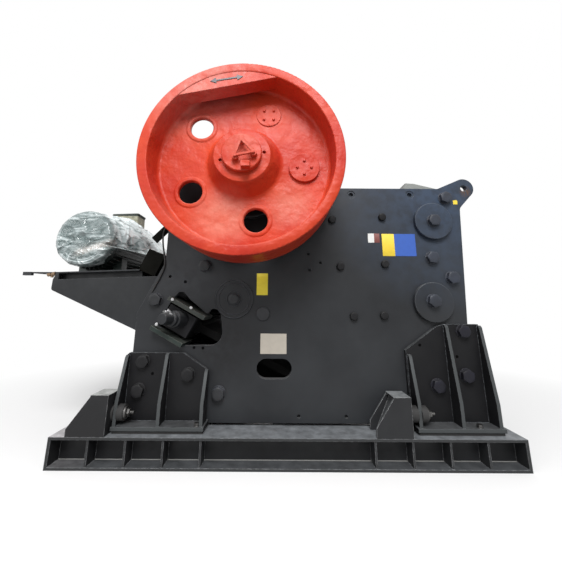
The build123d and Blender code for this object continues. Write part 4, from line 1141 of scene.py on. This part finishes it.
filmMilkAndLightSet = {
    # top makes the film milkier where it looks up, a painted reflection of the sky; crests carry painted
    # highlight
    "cap": 0.06, "sleeve": 0.60, "top": 0.3, "topLook": (-0.1, 0.8),
    "crestOnCap": 0.12, "crestOnSleeve": 0.38, "crestFold": (0.005, 0.015),
    "mottle": 0.5, "mottleCrease": (-0.004, 0.006), "gathers": 0.5,
    "bandDrop": 0.115, "bandLean": 0.35, "bandMiddle": 0.06, "bandWidth": 0.034, "bandSide": (-0.08, 0.0),
    "stripes": (260, 190, 4000), "stripeStep": (-0.3, 0.5), "bandTint": 0.9, "bandMilk": 0.8,
    "arcs": [(0.010, 0.205), (-0.006, 0.228), (0.004, 0.246)], "arcWidth": 0.004, "arcMilk": 0.7,
    "arcDepth": (0.10, 0.20),
}


# From 0 at low to 1 at high: t squared times (3 - 2t), with t held between 0 and 1
def smoothStep(value, low, high):
    t = np.clip((value - low) / (high - low), 0, 1)
    return t * t * (3 - 2 * t)


# 1 on the stretch between a first range, where it comes in, and a second one, where it goes out
def stretch(value, comesIn, goesOut):
    return smoothStep(value, *comesIn) * (1 - smoothStep(value, *goesOut))


# The whole run at each angle: the cap, a quarter turn at its rim, and a hem that is longer where the
# sleeve is, longer still at one side, and ragged by three sines as (height, waves, start)
def filmLength(s, theta, degrees):
    ragged = sum(height * np.sin(waves * theta + start) for height, waves, start in s["ragged"])
    sleeve = s["sleeve"] * stretch(degrees, *s["sleeveAngles"])
    longer = s["longer"] * stretch(degrees, *s["longerAngles"])
    return s["radius"] - s["rim"] + s["rim"] * math.pi / 2 + (s["capHem"] + sleeve + longer + ragged)


# Radius, y and turn of the normal along the run: out over the flat cap, round the rim as a quarter circle
# and straight back, where the film flares and puffs out
def filmProfile(s, run):
    flat = s["radius"] - s["rim"]
    bend = s["rim"] * math.pi / 2
    turn = np.clip((run - flat) / s["rim"], 0, math.pi / 2)
    back = np.clip(run - flat - bend, 0, None)
    radius = np.minimum(run, flat) + s["rim"] * np.sin(turn) + s["flare"] * smoothStep(back, *s["flareBack"])
    radius = radius + s["puff"] * smoothStep(back, *s["puffBack"])
    y = s["front"] + s["rim"] * (1 - np.cos(turn)) + back
    return radius, y, turn


# Sharp ridges and valleys at random places of the film: each is its depth times e to the minus of the
# distance across it over its width, and fades as a bell curve with the distance from its middle
def creaseField(creases, signs, places, rng):
    flat = places.reshape(-1, 3)
    total = np.zeros(len(flat))
    for middle in flat[rng.integers(0, len(flat), creases["count"])]:
        normal = rng.normal(size=3)
        normal /= np.linalg.norm(normal)
        depth = rng.uniform(*creases["depth"]) * rng.choice(signs)
        gap = flat - middle
        across = np.abs(gap @ normal) / rng.uniform(*creases["width"])
        spread = 2 * rng.uniform(*creases["reach"]) ** 2
        total += depth * np.exp(-across - np.sum(gap * gap, axis=1) / spread)
    return total.reshape(places.shape[:-1])


# Gathers below the cap's edge: 1 less the size of a sine round the motor, whose angle wanders along the
# run and round it, cubed to make it narrow
def filmGathers(s, theta, run, onSleeve):
    alongSize, alongWaves = s["wanderAlong"]
    roundSize, roundWaves = s["wanderRound"]
    wander = theta + alongSize * np.sin(run * alongWaves) + roundSize * np.sin(roundWaves * theta)
    narrow = (1 - np.abs(np.sin(s["gathers"] / 2 * wander))) ** 3
    lowEdge = smoothStep(-np.sin(theta), *s["gatherUnder"]) * smoothStep(run, *s["gatherRun"])
    return narrow * lowEdge * (1 - onSleeve)


# Height of the folds: creases, finer ones most of all on the sleeve, and gathers, all within limits,
# none at the cap's middle and few where the rim holds the film
def filmFolds(s, run, turn, broad, fine, gathers, onSleeve):
    fold = broad + fine * (s["fineOnCap"] + s["fineOnSleeve"] * onSleeve) + s["gatherDepth"] * gathers
    pastRim = smoothStep(run - s["radius"], *s["rimPast"])
    held = 1 - s["rimHold"] * smoothStep(turn, *s["rimTurn"]) * (1 - pastRim)
    return np.clip(fold, *s["foldLimits"]) * smoothStep(run, *s["foldRun"]) * held


# How milky the film is, with painted light in it: more on the sleeve, more where it looks up as a painted
# reflection of the sky, on crests as painted highlight, in mottles and along gathers
def filmMilkAndLight(s, fold, fine, gathers, up, onSleeve):
    milkAndLight = s["cap"] + (s["sleeve"] - s["cap"] + s["top"] * smoothStep(up, *s["topLook"])) * onSleeve
    crest = (s["crestOnCap"] + s["crestOnSleeve"] * onSleeve) * smoothStep(fold, *s["crestFold"])
    mottle = s["mottle"] * (smoothStep(fine, *s["mottleCrease"]) - 0.5) * onSleeve
    return np.clip(milkAndLight + crest + mottle + s["gathers"] * gathers, 0, 1)


# Tint and milk on the cap: a bell-shaped band that leans, cut into stripes by a sine, and thin arcs near
# its lower edge. side and height are measured from the cap's middle
def filmMarks(s, side, height, broad, onSleeve):
    onCap = 1 - onSleeve
    off = height + s["bandDrop"] - s["bandLean"] * (side - s["bandMiddle"])
    band = np.exp(-((off / s["bandWidth"]) ** 2)) * smoothStep(side, *s["bandSide"]) * onCap
    sideWaves, heightWaves, creaseWaves = s["stripes"]
    phase = side * sideWaves + height * heightWaves + broad * creaseWaves
    stripe = smoothStep(np.sin(phase), *s["stripeStep"])
    gaps = [np.hypot(side - shift, height) - size for shift, size in s["arcs"]]
    arcs = sum(np.exp(-((gap / s["arcWidth"]) ** 2)) for gap in gaps)
    low = smoothStep(-height, *s["arcDepth"]) * onCap
    return s["bandTint"] * band * stripe, s["bandMilk"] * band * (1 - stripe) + s["arcMilk"] * low * arcs


# One layer of quads from places[row, around, xyz], with a small lid at the middle of the cap
def filmSkin(places):
    rows, around, _ = places.shape
    start = np.arange(rows - 1)[:, None] * around
    step = np.arange(around)[None, :]
    ahead = (step + 1) % around
    corners = [start + step, start + around + step, start + around + ahead, start + ahead]
    quads = np.stack(corners, -1).reshape(-1, 4)
    return places.reshape(-1, 3), quads.tolist() + [list(range(around))]


# The profile turned round the motor's axis, moved along its normals by the folds and drawn out to a flap
# at one side, as a bell curve round the angle 0
def addFilm(s, milkAndLightSet):
    rng = np.random.default_rng(s["seed"])
    theta = np.arange(s["around"]) / s["around"] * 2 * np.pi
    degrees = (np.degrees(theta) + 90) % 360 - 90
    share = np.linspace(s["firstRow"], 1, s["rows"])
    run = share[:, None] * filmLength(s, theta, degrees)
    radius, y, turn = filmProfile(s, run)
    outward = np.stack([np.cos(theta), np.zeros(s["around"]), np.sin(theta)], -1)[None]
    back = np.array([0.0, 1.0, 0.0])
    normal = outward * np.sin(turn)[..., None] - back * np.cos(turn)[..., None]
    middle = np.array([s["centre"][0], 0.0, s["centre"][1]])
    places = middle + outward * radius[..., None] + back * y[..., None]
    broad = creaseField(s["broad"], s["creaseSigns"], places, rng)
    fine = creaseField(s["fine"], s["creaseSigns"], places, rng)
    onSleeve = smoothStep(run - s["radius"], *s["sleevePast"])
    gathers = filmGathers(s, theta, run, onSleeve)
    fold = filmFolds(s, run, turn, broad, fine, gathers, onSleeve)
    places = places + normal * fold[..., None]
    flap = np.exp(-((degrees / s["flapSpread"]) ** 2)) * smoothStep(share, *s["flapRows"])[:, None]
    places = places + flap[..., None] * np.array([s["flap"], 0.0, -s["flapDrop"]])
    milkAndLight = filmMilkAndLight(milkAndLightSet, fold, fine, gathers, normal[..., 2], onSleeve)
    side, _, height = np.moveaxis(places - middle, -1, 0)
    tint, marks = filmMarks(milkAndLightSet, side, height, broad, onSleeve)
    piece = addPiece("motorFilm", filmSkin(places), "clearFilm", "frame")
    for name, field in (("milkAndLight", milkAndLight + marks), ("tint", tint)):
        values = piece.data.attributes.new(name, "FLOAT", "POINT")
        values.data.foreach_set("value", np.clip(field, 0, 1).reshape(-1).astype(np.float32))


addFilm(filmSet, filmMilkAndLightSet)
print("film")
